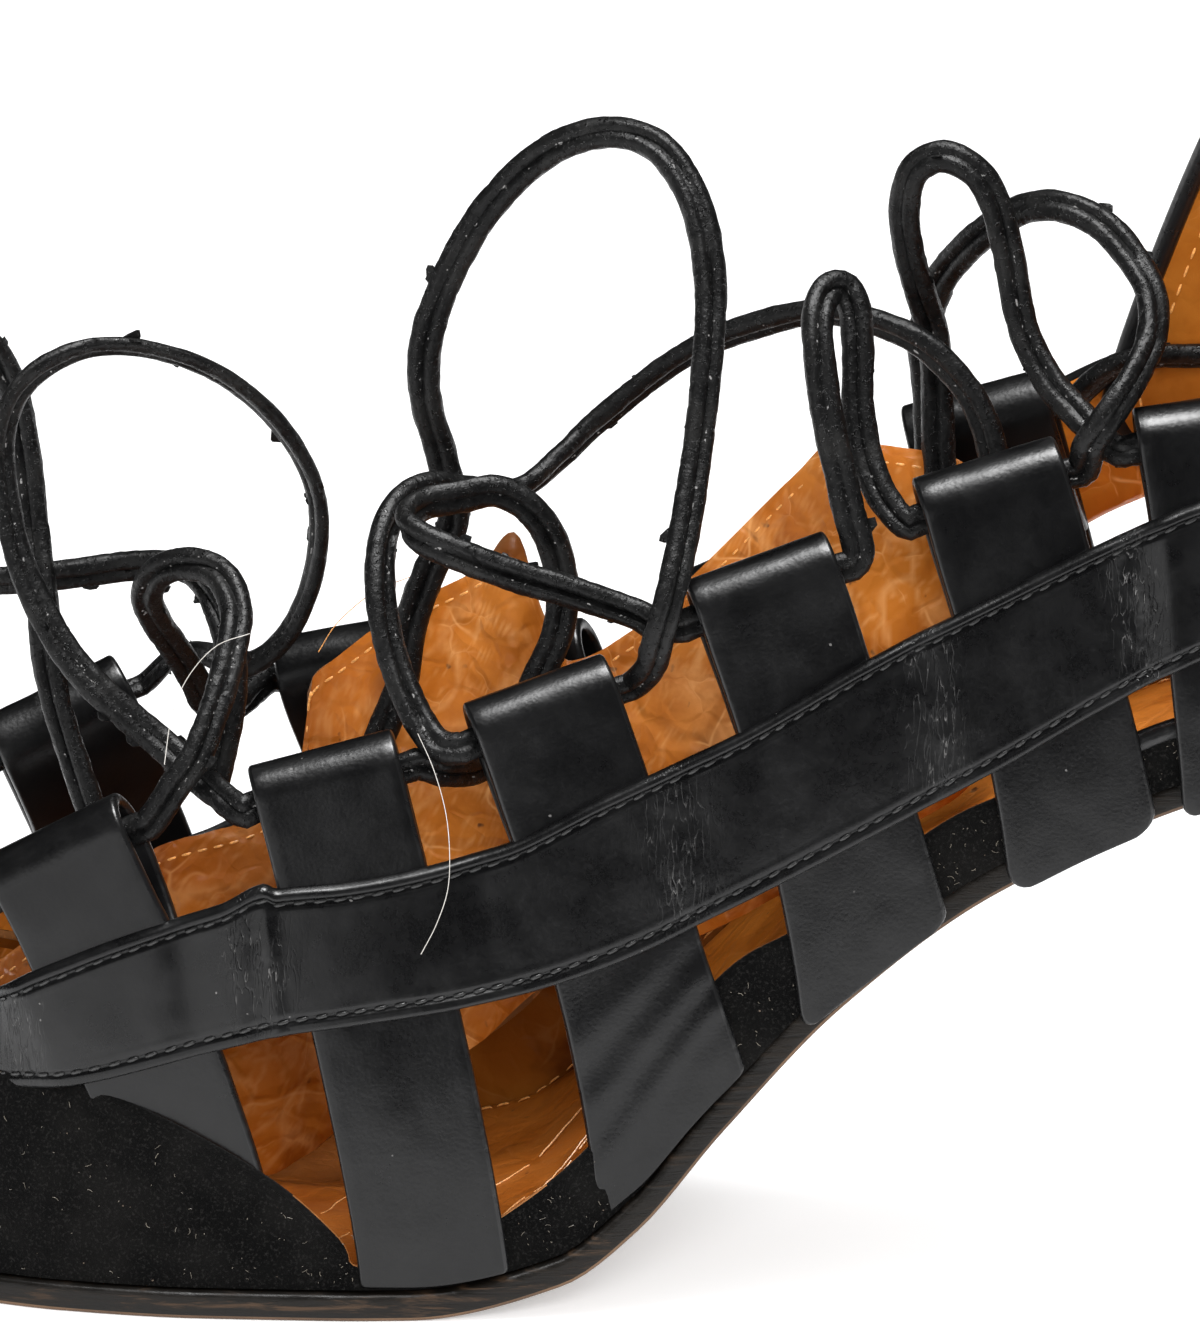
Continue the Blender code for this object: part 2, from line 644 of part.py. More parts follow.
def strap_frame(row, side, heading, t):
    """Centre point of a strap at t, its width direction and its outward direction."""
    point = strap_path(row, side)
    here = point(min(1.0, t))
    rise = (point(min(1.0, t + 0.02)) - point(max(0.0, min(1.0, t) - 0.02))).normalized()
    along = Vector((1.0, heading, 0.0))
    along = (along - rise * along.dot(rise)).normalized()
    return here, along, along.cross(rise) * -side


def loop_profile(length):
    """Outer outline and hole of a strap's section: outwards distance and height up."""
    fold_x = STRAP_OUT - LOOP_RADIUS
    fold_z = length - LOOP_RADIUS
    fold = []
    steps = 8
    for i in range(steps + 1):
        turn = math.pi * i / steps
        fold.append((fold_x + LOOP_RADIUS * math.cos(turn), fold_z + LOOP_RADIUS * math.sin(turn)))
    join = length - LOOP_DROP
    inner = [
        (lerp(fold_x - LOOP_RADIUS, STRAP_IN, t ** 1.5), lerp(fold_z, join, t))
        for t in (0.3, 0.55, 0.78, 1.0)
    ]
    straight = [join * t for t in (0.8, 0.6, 0.4, 0.2, 0.0)]
    outline = [(STRAP_OUT, z) for z in reversed(straight)]
    outline += [(STRAP_OUT, join), (STRAP_OUT, lerp(join, fold_z, 0.5))]
    outline += fold + inner + [(STRAP_IN, z) for z in straight]
    radius = LOOP_RADIUS - LOOP_WALL
    hole = []
    for i in range(9):
        turn = math.pi * i / 8
        hole.append((fold_x + radius * math.cos(turn), fold_z + radius * math.sin(turn)))
    tip = (lerp(fold_x - radius, STRAP_IN, 0.72), join + LOOP_TIP)
    hole += [(lerp(hole[-1][0], tip[0], 0.35), lerp(fold_z, tip[1], 0.55)), tip]
    hole += [(STRAP_OUT - LOOP_WALL, lerp(tip[1], fold_z, 0.4))]
    return outline, hole


def flat_piece(name, rings):
    """A flat closed piece from outlines drawn on a plane; inner outlines are holes."""
    drawing = bpy.data.curves.new(name, "CURVE")
    drawing.dimensions = "2D"
    drawing.fill_mode = "BOTH"
    drawing.extrude = 0.5
    for ring in rings:
        line = drawing.splines.new("POLY")
        line.points.add(len(ring) - 1)
        line.use_cyclic_u = True
        for place, (x, y) in zip(line.points, ring):
            place.co = (x, y, 0.0, 1.0)
    holder = bpy.data.objects.new(name, drawing)
    CUTTERS.objects.link(holder)
    bpy.context.view_layer.update()
    seen = holder.evaluated_get(bpy.context.evaluated_depsgraph_get())
    mesh = bpy.data.meshes.new_from_object(seen)
    points = [vertex.co.copy() for vertex in mesh.vertices]
    faces = [tuple(face.vertices) for face in mesh.polygons]
    bpy.data.objects.remove(holder)
    return points, faces


def make_strap(row, side, heading):
    """One strap with its lace loop, swept up its centre line; its foot follows the sole."""
    point = strap_path(row, side)
    low = row[2]
    length = (point(1.0) - point(0.0)).length
    name = ("outer" if side == OUTER else "inner") + " strap " + row[0]
    flat, faces = flat_piece(name, loop_profile(length))
    placed = []
    for out, up, width in flat:
        t = up / length
        here, along, away = strap_frame(row, side, heading, t)
        spot = here + away * out + along * width * STRAP_WIDTH
        corner = point(0.0) + away * out + along * width * STRAP_WIDTH
        slip = above_sole(corner.x, corner.y, SOLE_THICK) + GAP + low - corner.z
        spot.z += slip * max(0.0, 1 - t * STRAP_FOOT) ** 2
        placed.append(spot)
    return cutter_object(name, placed, faces)


def cage_headings(side, rows):
    """Plan slope of the cage at each strap, which the strap's width follows."""
    middles = [strap_path(row, side)(0.5) for row in rows[1:]]
    headings = []
    for i in range(len(middles)):
        before = middles[max(0, i - 1)]
        after = middles[min(len(middles) - 1, i + 1)]
        headings.append((after.y - before.y) / (after.x - before.x))
    headings[0] = side * TOE_TAPER
    return headings


def make_band(side, straps):
    """The band that runs over the straps, from under the toe cap to the quarter."""
    low = column(BAND, "low")
    high = column(BAND, "high")
    inner = column(BAND, "inner")
    lift = inner if side == INNER else (lambda x: 0.0)
    rows = (0.0, 0.33, 0.67, 1.0)
    tables = []
    for share in rows:
        table = [("x", "y")]
        x = BAND[1][0]
        z = lerp(low(x), high(x), share) + lift(x)
        table.append((x, last_side(x, z, side, -BAND_TUCK)))
        for strap in straps[1:]:
            x = (strap[1] + strap[4]) / 2
            z = lerp(low(x), high(x), share) + lift(x)
            here = strap_side(strap, side, z)
            if strap is straps[1]:
                front = here.y + side * (BAND_IN - TOE_TAPER * BAND_LAP)
                table.append((here.x - BAND_LAP, front))
            table.append((here.x, here.y + side * BAND_IN))
        for x in (BAND[-1][0] - BAND_END, BAND[-1][0]):
            z = lerp(low(x), high(x), share) + lift(x)
            table.append((x, last_side(x, z, side, -BAND_TUCK)))
        tables.append(column(table, "y"))
    points = []
    places = spread(BAND[1][0], BAND[-1][0], 25)
    thick = BAND_OUT - BAND_IN
    for x in places:
        levels = [lerp(low(x), high(x), share) + lift(x) for share in rows]
        inside = [(x, table(x), z) for table, z in zip(tables, levels)]
        outside = [(x, y + side * thick, z) for x, y, z in reversed(inside)]
        points += inside + outside
    name = ("outer" if side == OUTER else "inner") + " band"
    return cutter_object(name, points, ring_faces(len(places), 2 * len(rows)))


# ---------------------------------------------------------------- tongue
def make_tongue():
    """A soft sheet that stands inside the shoe, leaning over to the inner side."""
    low_y, low_z = column(TONGUE, "low_y"), column(TONGUE, "low_z")
    high_y, high_z = column(TONGUE, "high_y"), column(TONGUE, "high_z")
    points = []
    rows = spread(0.0, 1.0, 6)
    places = spread(TONGUE[1][0], TONGUE[-1][0], 27)
    for x in places:
        for t in rows:
            bow = math.sin(math.pi * t)
            wave = TONGUE_WAVE * math.sin(x * TONGUE_WAVE_ALONG + TONGUE_WAVE_ACROSS * t) * bow
            y = lerp(low_y(x), high_y(x), t) - TONGUE_BELLY * bow + wave
            points.append((x, y, lerp(low_z(x), high_z(x), t)))
    faces = []
    for i in range(len(places) - 1):
        for j in range(len(rows) - 1):
            a = i * len(rows) + j
            b = a + len(rows)
            faces.append((a, a + 1, b + 1, b))
    sheet = mesh_object("tongue", points, faces, PARTS, LINING_LOOK)
    body = sheet.modifiers.new("Leather thickness", "SOLIDIFY")
    body.thickness = TONGUE_THICK * MM
    body.offset = 0.0
    return sheet


# ---------------------------------------------------------------- laces
def loop_end(name):
    """Three points of a lace in a lace loop: mid-way, at the mouth and just outside it."""
    if not name:
        return []
    face, letter, end = name.split()
    side = OUTER if face == "outer" else INNER
    rows = OUTER_STRAPS if side == OUTER else INNER_STRAPS
    place = [row[0] for row in rows[1:]].index(letter)
    row = rows[place + 1]
    point = strap_path(row, side)
    length = (point(1.0) - point(0.0)).length
    heading = cage_headings(side, rows)[place]
    here, along, away = strap_frame(row, side, heading, 1 - LOOP_RADIUS / length)
    middle = here + away * (STRAP_OUT - LOOP_RADIUS)
    way = 1 if end == "back" else -1
    return [middle + along * way * d
            for d in (GAP / 2, STRAP_WIDTH / 2, STRAP_WIDTH / 2 + LACE_LEAD)]


def smooth_route(points, step):
    """Points at even steps along a smooth curve through the given ones."""
    knots = [Vector(point) for point in points]
    knots = [2 * knots[0] - knots[1], *knots, 2 * knots[-1] - knots[-2]]
    fine = []
    for a, b, c, d in zip(knots, knots[1:], knots[2:], knots[3:]):
        for i in range(12):
            t = i / 12
            fine.append(((2 * b) + (c - a) * t + (2 * a - 5 * b + 4 * c - d) * t ** 2
                         + (3 * b - a - 3 * c + d) * t ** 3) / 2)
    fine.append(knots[-2])
    runs = [0.0]
    for here, after in zip(fine, fine[1:]):
        runs.append(runs[-1] + (after - here).length)
    count = max(3, round(runs[-1] / step) + 1)
    even = []
    place = 0
    for target in spread(0.0, runs[-1], count):
        while place < len(runs) - 2 and runs[place + 1] < target:
            place += 1
        share = (target - runs[place]) / (runs[place + 1] - runs[place])
        even.append(fine[place].lerp(fine[place + 1], share))
    return even


def make_lace(name, start, passes, end):
    cord = bpy.data.curves.new(name, "CURVE")
    cord.dimensions = "3D"
    cord.bevel_depth = LACE_WIDE / 2 * MM
    cord.bevel_resolution = 2
    cord.use_fill_caps = True
    points = [*loop_end(start), *passes, *reversed(loop_end(end))]
    route = smooth_route(points, LACE_STEP)
    line = cord.splines.new("POLY")
    line.points.add(len(route) - 1)
    for place, point in zip(line.points, route):
        place.co = (*(point * MM), 1.0)
    made = bpy.data.objects.new(name, cord)
    PARTS.objects.link(made)
    made.parent = SHOE
    cord.materials.append(LACE_LOOK)
    return made


# ---------------------------------------------------------------- assembly
for old in list(bpy.data.objects):
    bpy.data.objects.remove(old)

PARTS = bpy.data.collections.new("lace-up pump")
CUTTERS = bpy.data.collections.new("cutters")
for group in (PARTS, CUTTERS):
    bpy.context.scene.collection.children.link(group)

SHOE = bpy.data.objects.new("shoe", None)
SHOE.location = Vector(SHOE_SHIFT) * MM
PARTS.objects.link(SHOE)

UPPER_LOOK = material("black leather", (0.012, 0.012, 0.013), 0.38)
LINING_LOOK = material("tan lining", (0.42, 0.19, 0.06), 0.55)
SOLE_LOOK = material("black sole edge", (0.015, 0.014, 0.013), 0.42)
HEEL_LOOK = material("covered heel", (0.012, 0.012, 0.013), 0.45)
TIP_LOOK = material("black rubber", (0.02, 0.02, 0.02), 0.7)
LACE_LOOK = material("black lace cord", (0.012, 0.012, 0.012), 0.5)
CUTTER_LOOK = material("cutter", (0.6, 0.2, 0.2), 0.8)

make_outsole()
make_insole()
make_heel()
make_heel_tip()
make_upper()
make_tongue()
for lace, (start, passes, end) in LACES.items():
    make_lace(lace, start, passes, end)
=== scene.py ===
"""A lace-up pump on its own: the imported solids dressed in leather, suede, stitching and cord.

Sizes are in millimetres in the shoe's own frame: toe to -X, heel to +X, outer side to -Y.
"""
import math
import random

import bmesh
import bpy
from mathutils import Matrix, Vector, noise

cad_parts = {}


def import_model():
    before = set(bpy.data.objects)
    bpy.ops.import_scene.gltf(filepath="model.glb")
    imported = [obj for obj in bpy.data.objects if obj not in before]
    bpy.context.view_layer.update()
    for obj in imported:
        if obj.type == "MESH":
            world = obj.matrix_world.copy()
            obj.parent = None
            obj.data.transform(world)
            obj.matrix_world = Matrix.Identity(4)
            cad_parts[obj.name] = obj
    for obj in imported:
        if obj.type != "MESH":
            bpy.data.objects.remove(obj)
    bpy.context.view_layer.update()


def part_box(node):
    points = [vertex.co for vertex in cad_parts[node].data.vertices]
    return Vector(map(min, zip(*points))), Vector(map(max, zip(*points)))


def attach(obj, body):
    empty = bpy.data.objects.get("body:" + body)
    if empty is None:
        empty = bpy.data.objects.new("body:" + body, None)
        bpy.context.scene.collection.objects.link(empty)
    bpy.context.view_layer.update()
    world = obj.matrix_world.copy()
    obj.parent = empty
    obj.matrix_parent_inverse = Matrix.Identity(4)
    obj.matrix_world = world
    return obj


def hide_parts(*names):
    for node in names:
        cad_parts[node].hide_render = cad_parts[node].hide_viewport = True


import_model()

MM = 0.001
METRE = 1000.0            # in millimetres
UP = Vector((0.0, 0.0, 1.0))
OUTER = -1                # side of the foot, as the sign of Y
INNER = 1
SIDE_NAME = {OUTER: "outer", INNER: "inner"}
TOE_X = -118.0            # toe tip of the outsole
HEEL_X = 118.0            # back of the heel seat
TOE_ROUND = 11.0          # plan radius of the toe tip
HEEL_ROUND = 25.5         # plan radius of the heel seat
SOLE_THICK = 3.2
INSOLE_THICK = 1.8
INSOLE_SHARE = 0.985      # the insole is this share of the last's width
INSOLE_END = 0.9          # it stops this far inside the last at toe and heel
GAP = 0.3                 # clearance between neighbouring pieces
BALL_SKEW = 0.087         # the ball line runs forward on the inner side
SKEW_SIDE = -33.0         # the outer edge, where the sole table is true
SKEW_ENDS = (20.0, 60.0)  # the skew fades out between these stations

WALL = 1.7                # suede and lining
INSIDE_DROP = 12.0        # the hollow goes this far down through the open underside
RIM_FORWARD = 3.0         # the low wall's rim lies this much further forward on the inner side
OPEN_TOP = 190.0          # the open top is cut up to this height
OPEN_SIDE = 70.0          # and out to this far from the middle on both sides
OPEN_LAP = 0.013          # the cuts of the two sides overlap by this much at the middle
UNDERSIDE = (-0.65, -0.25, 0.25, 0.65)   # points under the last, as shares of its half width
LEAN_FADE = 10.0          # the lean of the back sets in over this height
STRAP_WIDTH = 17.4
STRAP_OUT = 2.8           # outer face of a strap, measured out from the last
STRAP_BULGE = 0.6
BULGE_SPAN = 1.4          # the bulge ends at the inverse of this share of the strap
STRAP_SWEEP = 1.25        # exponents of a strap's path: it leans forward, then inwards
STRAP_LEAN = 1.8
STRAP_FOOT = 1.6          # the foot follows the sole up to the inverse of this share
TOE_TAPER = 0.2           # plan slope of the foremost straps
LOOP_RADIUS = 4.7         # outer radius of the fold at the top of a strap
LOOP_WALL = 1.5
LOOP_DROP = 20.0          # the folded end is joined this far below the top
BAND_IN = 2.3
BAND_OUT = 4.0
BAND_TUCK = 1.3           # its ends pass under the toe cap and the quarter, this far in
BAND_END = 4.0            # length of its tucked end at the quarter
BAND_LAP = 9.7            # it lies over the foremost strap to this far from the strap's middle

HEEL_BREAST_X = 71.0
HEEL_INSET = 1.5          # the heel's seat lies this far inside the sole at the back
HEEL_SIDE_INSET = 2.5
HEEL_SLIM = 2.4           # exponents of its curves: breast and sides, then the back
HEEL_BACK_SLIM = 1.7
HEEL_BLUNT = 2.6          # flattens its front face in plan
HEEL_TIP_HEIGHT = 5.0
HEEL_TIP_FRONT = 95.0
HEEL_TIP_BACK = 110.0
HEEL_TIP_HALF = 7.0

TONGUE_THICK = 1.4
TONGUE_BELLY = 2.0        # it bows towards the outer side
TONGUE_WAVE = 0.8         # height of its waves, and how fast they turn along and across
TONGUE_WAVE_ALONG = 0.32
TONGUE_WAVE_ACROSS = 4.0

# half: half width, centre: sideways shift of the middle, rise: height of the sole's underside
SOLE = (
    ("x", "half", "centre", "rise"),
    (-118, 11.0, 7.5, 5.0),
    (-108, 15.5, 6.4, 2.7),
    (-96, 22.6, 4.8, 0.9),
    (-84, 29.0, 2.9, 0.1),
    (-78, 31.8, 2.0, 0.0),
    (-70, 34.6, 1.2, 0.0),
    (-54, 37.5, 0.4, 0.0),
    (-38, 37.9, -0.4, 0.0),
    (-30, 37.3, -0.9, 0.0),
    (-12, 33.9, -2.4, 3.6),
    (-3, 31.2, -2.7, 9.6),
    (7, 27.5, -2.7, 20.3),
    (21, 24.2, -2.3, 34.2),
    (39, 22.0, -1.5, 47.2),
    (62, 22.0, -0.5, 57.8),
    (88, 25.3, 0.0, 64.6),
    (118, 25.5, 0.0, 70.6),
)

# crown: top of the last, over: how far the last stands out past the sole's edge,
# square: exponent of the cross-section, 2 is an ellipse
LAST = (
    ("x", "crown", "over", "square"),
    (-118, 15.5, -3.2, 2.0),
    (-106, 24.5, -3.2, 2.1),
    (-96, 30.0, -3.1, 2.2),
    (-86, 34.6, -3.0, 2.4),
    (-76, 39.5, -3.0, 2.7),
    (-60, 47.0, -3.0, 3.0),
    (-30, 62.0, -3.0, 2.8),
    (-2, 78.5, -2.8, 2.6),
    (12, 89.5, -0.2, 2.6),
    (25, 100.0, 0.0, 2.5),
    (60, 130.0, 0.2, 2.5),
    (90, 158.0, -0.8, 2.5),
    (118, 160.0, -1.8, 2.5),
)

# The back of the last bulges over the heel and leans in at the ankle.
BACK_CURVE = (
    ("x", "shift"),
    (60, 0.0),
    (80, 2.6),
    (96, 3.2),
    (118, 0.5),
    (136, -4.5),
    (170, -8.0),
)
BACK_CURVE_FROM = 70.0

# near: top line of suede wall and quarter on the outer side; x and height
CAP_LINE = (
    (-90, 60.0), (-89, 37.5), (-85, 33.2), (-77, 29.4), (-69, 26.7), (-56, 21.5),
    (-45, 15.2), (-38, 8.9), (-36, 5.6), (-28, 6.4),
)
WALL_LINE = (
    (-19, 10.8), (-7, 20.4), (7, 38.6), (17, 44.6), (32, 55.2), (41, 59.4), (56, 66.0),
    (63, 68.4),
)
OUTER_QUARTER = (
    (73, 73.0), (77, 82.0), (79, 100.0), (83, 120.0), (86, 128.5), (91, 133.0), (100, 134.5),
    (126, 138.0),
)
INNER_QUARTER = (
    (70, 71.5), (73, 78.0), (73, 84.0), (62, 84.5), (53, 93.0), (54, 101.7), (62, 125.0),
    (65, 131.0), (70, 133.5), (100, 134.5), (126, 138.0),
)

# Each strap runs from its foot at the sole up to the top of its lace loop.
# low: height of the foot above the sole's top, tuck: how far in from the last's face
OUTER_STRAPS = (
    ("name", "foot_x", "low", "tuck", "top_x", "top_z", "top_half"),
    ("a", -53.3, 9.0, -3.65, -71.3, 56.0, 27.0),
    ("b", -26.5, 0.4, 0.0, -39.8, 65.8, 27.0),
    ("c", 0.6, 0.4, 0.0, -14.9, 73.9, 25.5),
    ("d", 24.2, -2.8, 0.6, 10.7, 87.8, 23.0),
    ("e", 48.4, -4.2, 0.6, 37.0, 98.6, 19.5),
    ("f", 68.6, -4.0, 0.7, 62.7, 105.4, 18.5),
)
INNER_STRAPS = (
    ("name", "foot_x", "low", "tuck", "top_x", "top_z", "top_half"),
    ("a", -55.3, 9.0, -3.65, -72.5, 59.5, 27.0),
    ("b", -24.4, 0.4, 0.0, -37.0, 67.8, 26.0),
    ("c", -2.6, 0.4, 0.0, -17.4, 66.5, 25.5),
    ("d", 24.5, -2.8, 0.6, 11.0, 78.5, 26.0),
    ("e", 46.5, -4.2, 0.6, 36.0, 97.2, 23.5),
)

# low and high: edges of the band on the outer side, inner: its extra height on the inner side
BAND = (
    ("x", "low", "high", "inner"),
    (-81, 23.8, 30.5, 0.0),
    (-77, 24.6, 37.0, -2.0),
    (-68, 26.6, 42.0, -6.0),
    (-54, 30.7, 47.4, -7.0),
    (-45, 33.3, 50.4, -6.0),
    (-36, 34.9, 51.4, -5.0),
    (-19, 37.7, 55.4, -2.0),
    (-7, 41.1, 61.0, 0.0),
    (9, 48.3, 68.4, 2.5),
    (24, 55.8, 76.7, 6.0),
    (39, 63.5, 83.9, 9.0),
    (52, 71.0, 90.1, 10.0),
    (63, 76.4, 94.6, 9.0),
    (84, 83.0, 99.0, 6.0),
)

# A section of the tongue every few steps: lower and upper edge, sideways place and height
TONGUE = (
    ("x", "low_y", "low_z", "high_y", "high_z"),
    (-84, 3.0, 6.2, 5.0, 27.0),
    (-70, 4.0, 6.0, 7.0, 37.0),
    (-59, 4.0, 6.0, 8.0, 45.0),
    (-46, 4.0, 6.4, 8.5, 49.0),
    (-42, 3.7, 8.6, 11.0, 53.0),
    (-41.2, 3.5, 9.0, 13.0, 63.6),
    (-38, 3.0, 12.0, 14.0, 66.3),
    (-29, 3.0, 18.0, 14.0, 73.0),
    (-21, 3.0, 23.0, 13.5, 77.4),
    (-17.5, 3.0, 26.5, 13.0, 81.6),
    (-14.4, 2.8, 29.2, 12.8, 72.5),
    (-11, 2.5, 31.0, 12.5, 66.3),
    (-3, 1.5, 33.0, 12.5, 70.3),
    (3, 0.5, 35.5, 12.0, 76.0),
    (9, 0.0, 38.5, 12.0, 82.0),
    (16, 0.0, 42.6, 11.0, 89.5),
    (20, 0.0, 44.5, 9.5, 93.3),
    (26, 0.0, 48.2, 9.0, 92.9),
    (34, 0.0, 53.0, 8.5, 91.4),
    (38, 1.0, 57.5, 8.0, 87.0),
)

LACE_WIDE = 3.6
LACE_LEAD = 2.0           # a lace leaves its loop straight for this far

# Each lace: the loop end it starts from, the points it passes, the loop end it runs to.
# An empty name is a loose tip inside the throat.
LACES = {
    "lace_arc_front": ("outer b front", (
        (-53.9, -21, 60.8), (-58.5, -17.5, 64.2), (-65.5, -16, 70), (-70.1, -14, 75.3),
        (-74.2, -11, 83), (-76.2, -8, 90.6), (-76.5, -5, 98.2), (-73.6, -3, 103.7),
        (-67.2, -1, 106.8), (-59.7, 1, 106.3), (-51.5, 4, 102.6), (-44.6, 8, 95.6),
        (-40.5, 11, 86.8), (-40.6, 13.5, 77.4), (-43.6, 15, 69.2), (-48.5, 17.5, 64.5),
        (-53.8, 21.3, 65), (-57.4, 26.6, 63),
    ), "inner a back"),
    "lace_hook_front": ("outer a back", (
        (-56.3, -25.3, 61), (-53.9, -24.5, 64.4), (-51.6, -21, 69.9), (-49.8, -16, 75.7),
        (-49.7, -12, 79.2), (-51.6, -8, 81.8), (-55.2, -5, 82.2), (-58.6, -2.5, 80.6),
        (-60, 0.5, 77), (-58.8, 4, 72.8), (-56.6, 7.5, 68.6), (-54.6, 10.5, 64.4),
        (-53.2, 13.5, 60.8), (-51.4, 17, 58.8), (-49.6, 20.5, 59),
    ), "inner b front"),
    "lace_end_outer": ("outer a front", (
        (-84, -22.5, 46.5), (-89, -20.5, 52), (-92.5, -18, 61), (-94.5, -14, 75),
        (-92, -9, 92), (-87, -4, 103.5), (-80.5, 1, 107.8), (-76.2, 4, 102.4),
        (-74.3, 4, 94), (-73.3, 2, 86), (-72.2, -2, 78.2), (-71.3, -5, 69),
        (-69, -8, 61.2), (-66.4, -10.5, 54), (-65, -12, 48),
    ), ""),
    "lace_end_inner": ("inner a front", (
        (-84, 24, 50.5), (-88, 21.5, 54), (-90.5, 17, 61.5), (-88.5, 12, 71), (-82, 9, 76),
        (-74.8, 7.5, 77.2), (-67.8, 7, 78.2), (-60.8, 6.5, 79.2), (-55, 4, 79.2),
        (-51.4, -2, 75.3), (-50.1, -6, 68.5), (-51.1, -9, 62), (-52.3, -11.5, 56.8),
    ), ""),
    "lace_ring_middle": ("outer b back", (
        (-25, -24.2, 62.2), (-21, -19, 61.5), (-17, -13.8, 64.2), (-14.6, -11.5, 70),
        (-12.2, -10, 75.5), (-11.8, -9, 81.8), (-14.3, -9, 88.4), (-19, -9, 91.8),
        (-23.6, -10, 91.4), (-27.5, -11.5, 91), (-29.6, -15, 90), (-28.2, -18.8, 88.8),
        (-23, -20.6, 86.8), (-17, -20.8, 84.6), (-10.8, -21, 82.8), (-3.5, -21.5, 80.4),
        (-0.8, -23.3, 79.4),
    ), "outer d front"),
    "lace_arc_middle": ("outer c front", (
        (-26.4, -26.5, 66.2), (-29, -23.8, 69.7), (-31.5, -20.3, 75.4), (-32.8, -16.8, 82),
        (-32.4, -12, 87.4), (-30.2, -7, 90.4), (-27, -3.8, 91.2), (-23.7, -1.2, 90.3),
        (-17.2, 4, 88.8), (-12, 8, 91.7), (-7.3, 11, 95.6), (3.1, 11, 103.6),
        (14.7, 7, 108.9), (21.7, 3, 109.9), (29.9, -1.5, 107.7), (35.7, -4, 102),
        (38.2, -6, 95.6), (39, -8, 88), (39.4, -8, 80),
    ), ""),
    "lace_arc_tall": ("outer c back", (
        (-1.6, -27.2, 75.3), (-0.6, -29.4, 79.5), (0.8, -29, 84.5), (2.4, -25, 91),
        (3.9, -20, 99.5), (5.2, -15, 110.3), (5.4, -11, 117.7), (3.9, -7, 125.1),
        (0.2, -3, 130.7), (-5, 0, 132.4), (-10.8, 2, 131), (-16.1, 4, 127.1),
        (-21.3, 5, 120.9), (-25.4, 5, 113.1), (-27.7, 4.5, 105.6), (-27.5, 4.5, 99),
        (-25.8, 5.5, 92.6), (-24.4, 5.5, 85), (-27, 5.5, 79.2), (-29.3, 6, 72.5),
        (-30.4, 6, 65.3), (-33, 5, 58.8), (-35, 3, 52.8),
    ), ""),
    "lace_pin_back": ("outer d back", (
        (22.5, -22.2, 88.3), (21.5, -21.5, 92), (20.3, -20, 97), (19, -18.2, 102.6),
        (18.1, -16.2, 108.6), (17.8, -13.4, 113.2), (18.8, -10.2, 115.8), (20.8, -8.6, 116),
        (22.2, -9.8, 113.4), (22.5, -12, 108.8), (22.5, -14.2, 103.2), (23.4, -16.4, 98),
        (25.2, -18.8, 93.8),
    ), "outer e front"),
    "lace_arc_back": ("outer e back", (
        (49.2, -20.6, 100.2), (51.5, -20.8, 103.8), (54.6, -17.5, 107.8), (56.6, -13, 111.9),
        (56, -9, 116.6), (51.5, -4, 121.8), (46.3, -1, 123.8), (41.2, 3, 122.4),
        (35.8, 8, 117.3), (32, 13, 111.2), (30.3, 13.5, 104.8), (30.8, 13.5, 98),
        (31.2, 12.9, 91), (31.5, 13.4, 84),
    ), ""),
    "lace_bow_back": ("outer f front", (
        (50.7, -14.6, 99.4), (47.9, -11, 101.6), (44.6, -8, 104.8), (41.7, -5, 110.2),
        (40.1, -3, 118), (38.4, -2.5, 124.6), (36, -2, 128.3), (32.4, -1, 129.8),
        (29.1, 0, 127.9), (27.9, 1, 123), (28.5, 2.5, 117.6), (29.8, 4, 112.5),
        (31.3, 5, 107.4), (31.8, 5, 101.5), (32, 3, 94), (32.5, 1, 87),
    ), ""),
    "lace_top_crossing": ("inner e back", (
        (50, 17.9, 98.3), (52.8, 16.1, 100.9), (57, 14.7, 102.2), (62.4, 15.5, 102.1),
        (70, 13.5, 103.3), (76.5, 9, 105.4), (79.3, 1, 107), (79, -8, 106.8),
        (77.2, -14.2, 104.4),
    ), "outer f back"),
}


# ---------------------------------------------------------------- numbers
SPLINE_STEPS = 12         # fine steps between two given points of a smooth route
SLOPE_STEP = 0.02         # share of a strap over which its direction is taken


def column(table, name):
    """A smooth function of x through one column of a table, with no overshoot."""
    place = table[0].index(name)
    xs = [row[0] for row in table[1:]]
    ys = [row[place] for row in table[1:]]
    steps = [(ys[i + 1] - ys[i]) / (xs[i + 1] - xs[i]) for i in range(len(xs) - 1)]
    slopes = [steps[0]]
    for before, after in zip(steps, steps[1:]):
        flat = before * after <= 0
        slopes.append(0.0 if flat else 2 * before * after / (before + after))
    slopes.append(steps[-1])

    def value(x):
        if x <= xs[0]:
            return ys[0]
        if x >= xs[-1]:
            return ys[-1]
        i = max(k for k in range(len(xs) - 1) if xs[k] <= x)
        width = xs[i + 1] - xs[i]
        t = (x - xs[i]) / width
        rest = 1 - t
        return (ys[i] * (1 + 2 * t) * rest * rest + slopes[i] * width * t * rest * rest
                + ys[i + 1] * t * t * (3 - 2 * t) - slopes[i + 1] * width * t * t * rest)

    return value


def lerp(a, b, t):
    return a + (b - a) * t


def spread(first, last, count):
    return [lerp(first, last, i / (count - 1)) for i in range(count)]


sole_half_raw = column(SOLE, "half")
sole_centre = column(SOLE, "centre")
sole_rise = column(SOLE, "rise")
last_crown = column(LAST, "crown")
last_over = column(LAST, "over")
last_square = column(LAST, "square")
back_shift = column(BACK_CURVE, "shift")


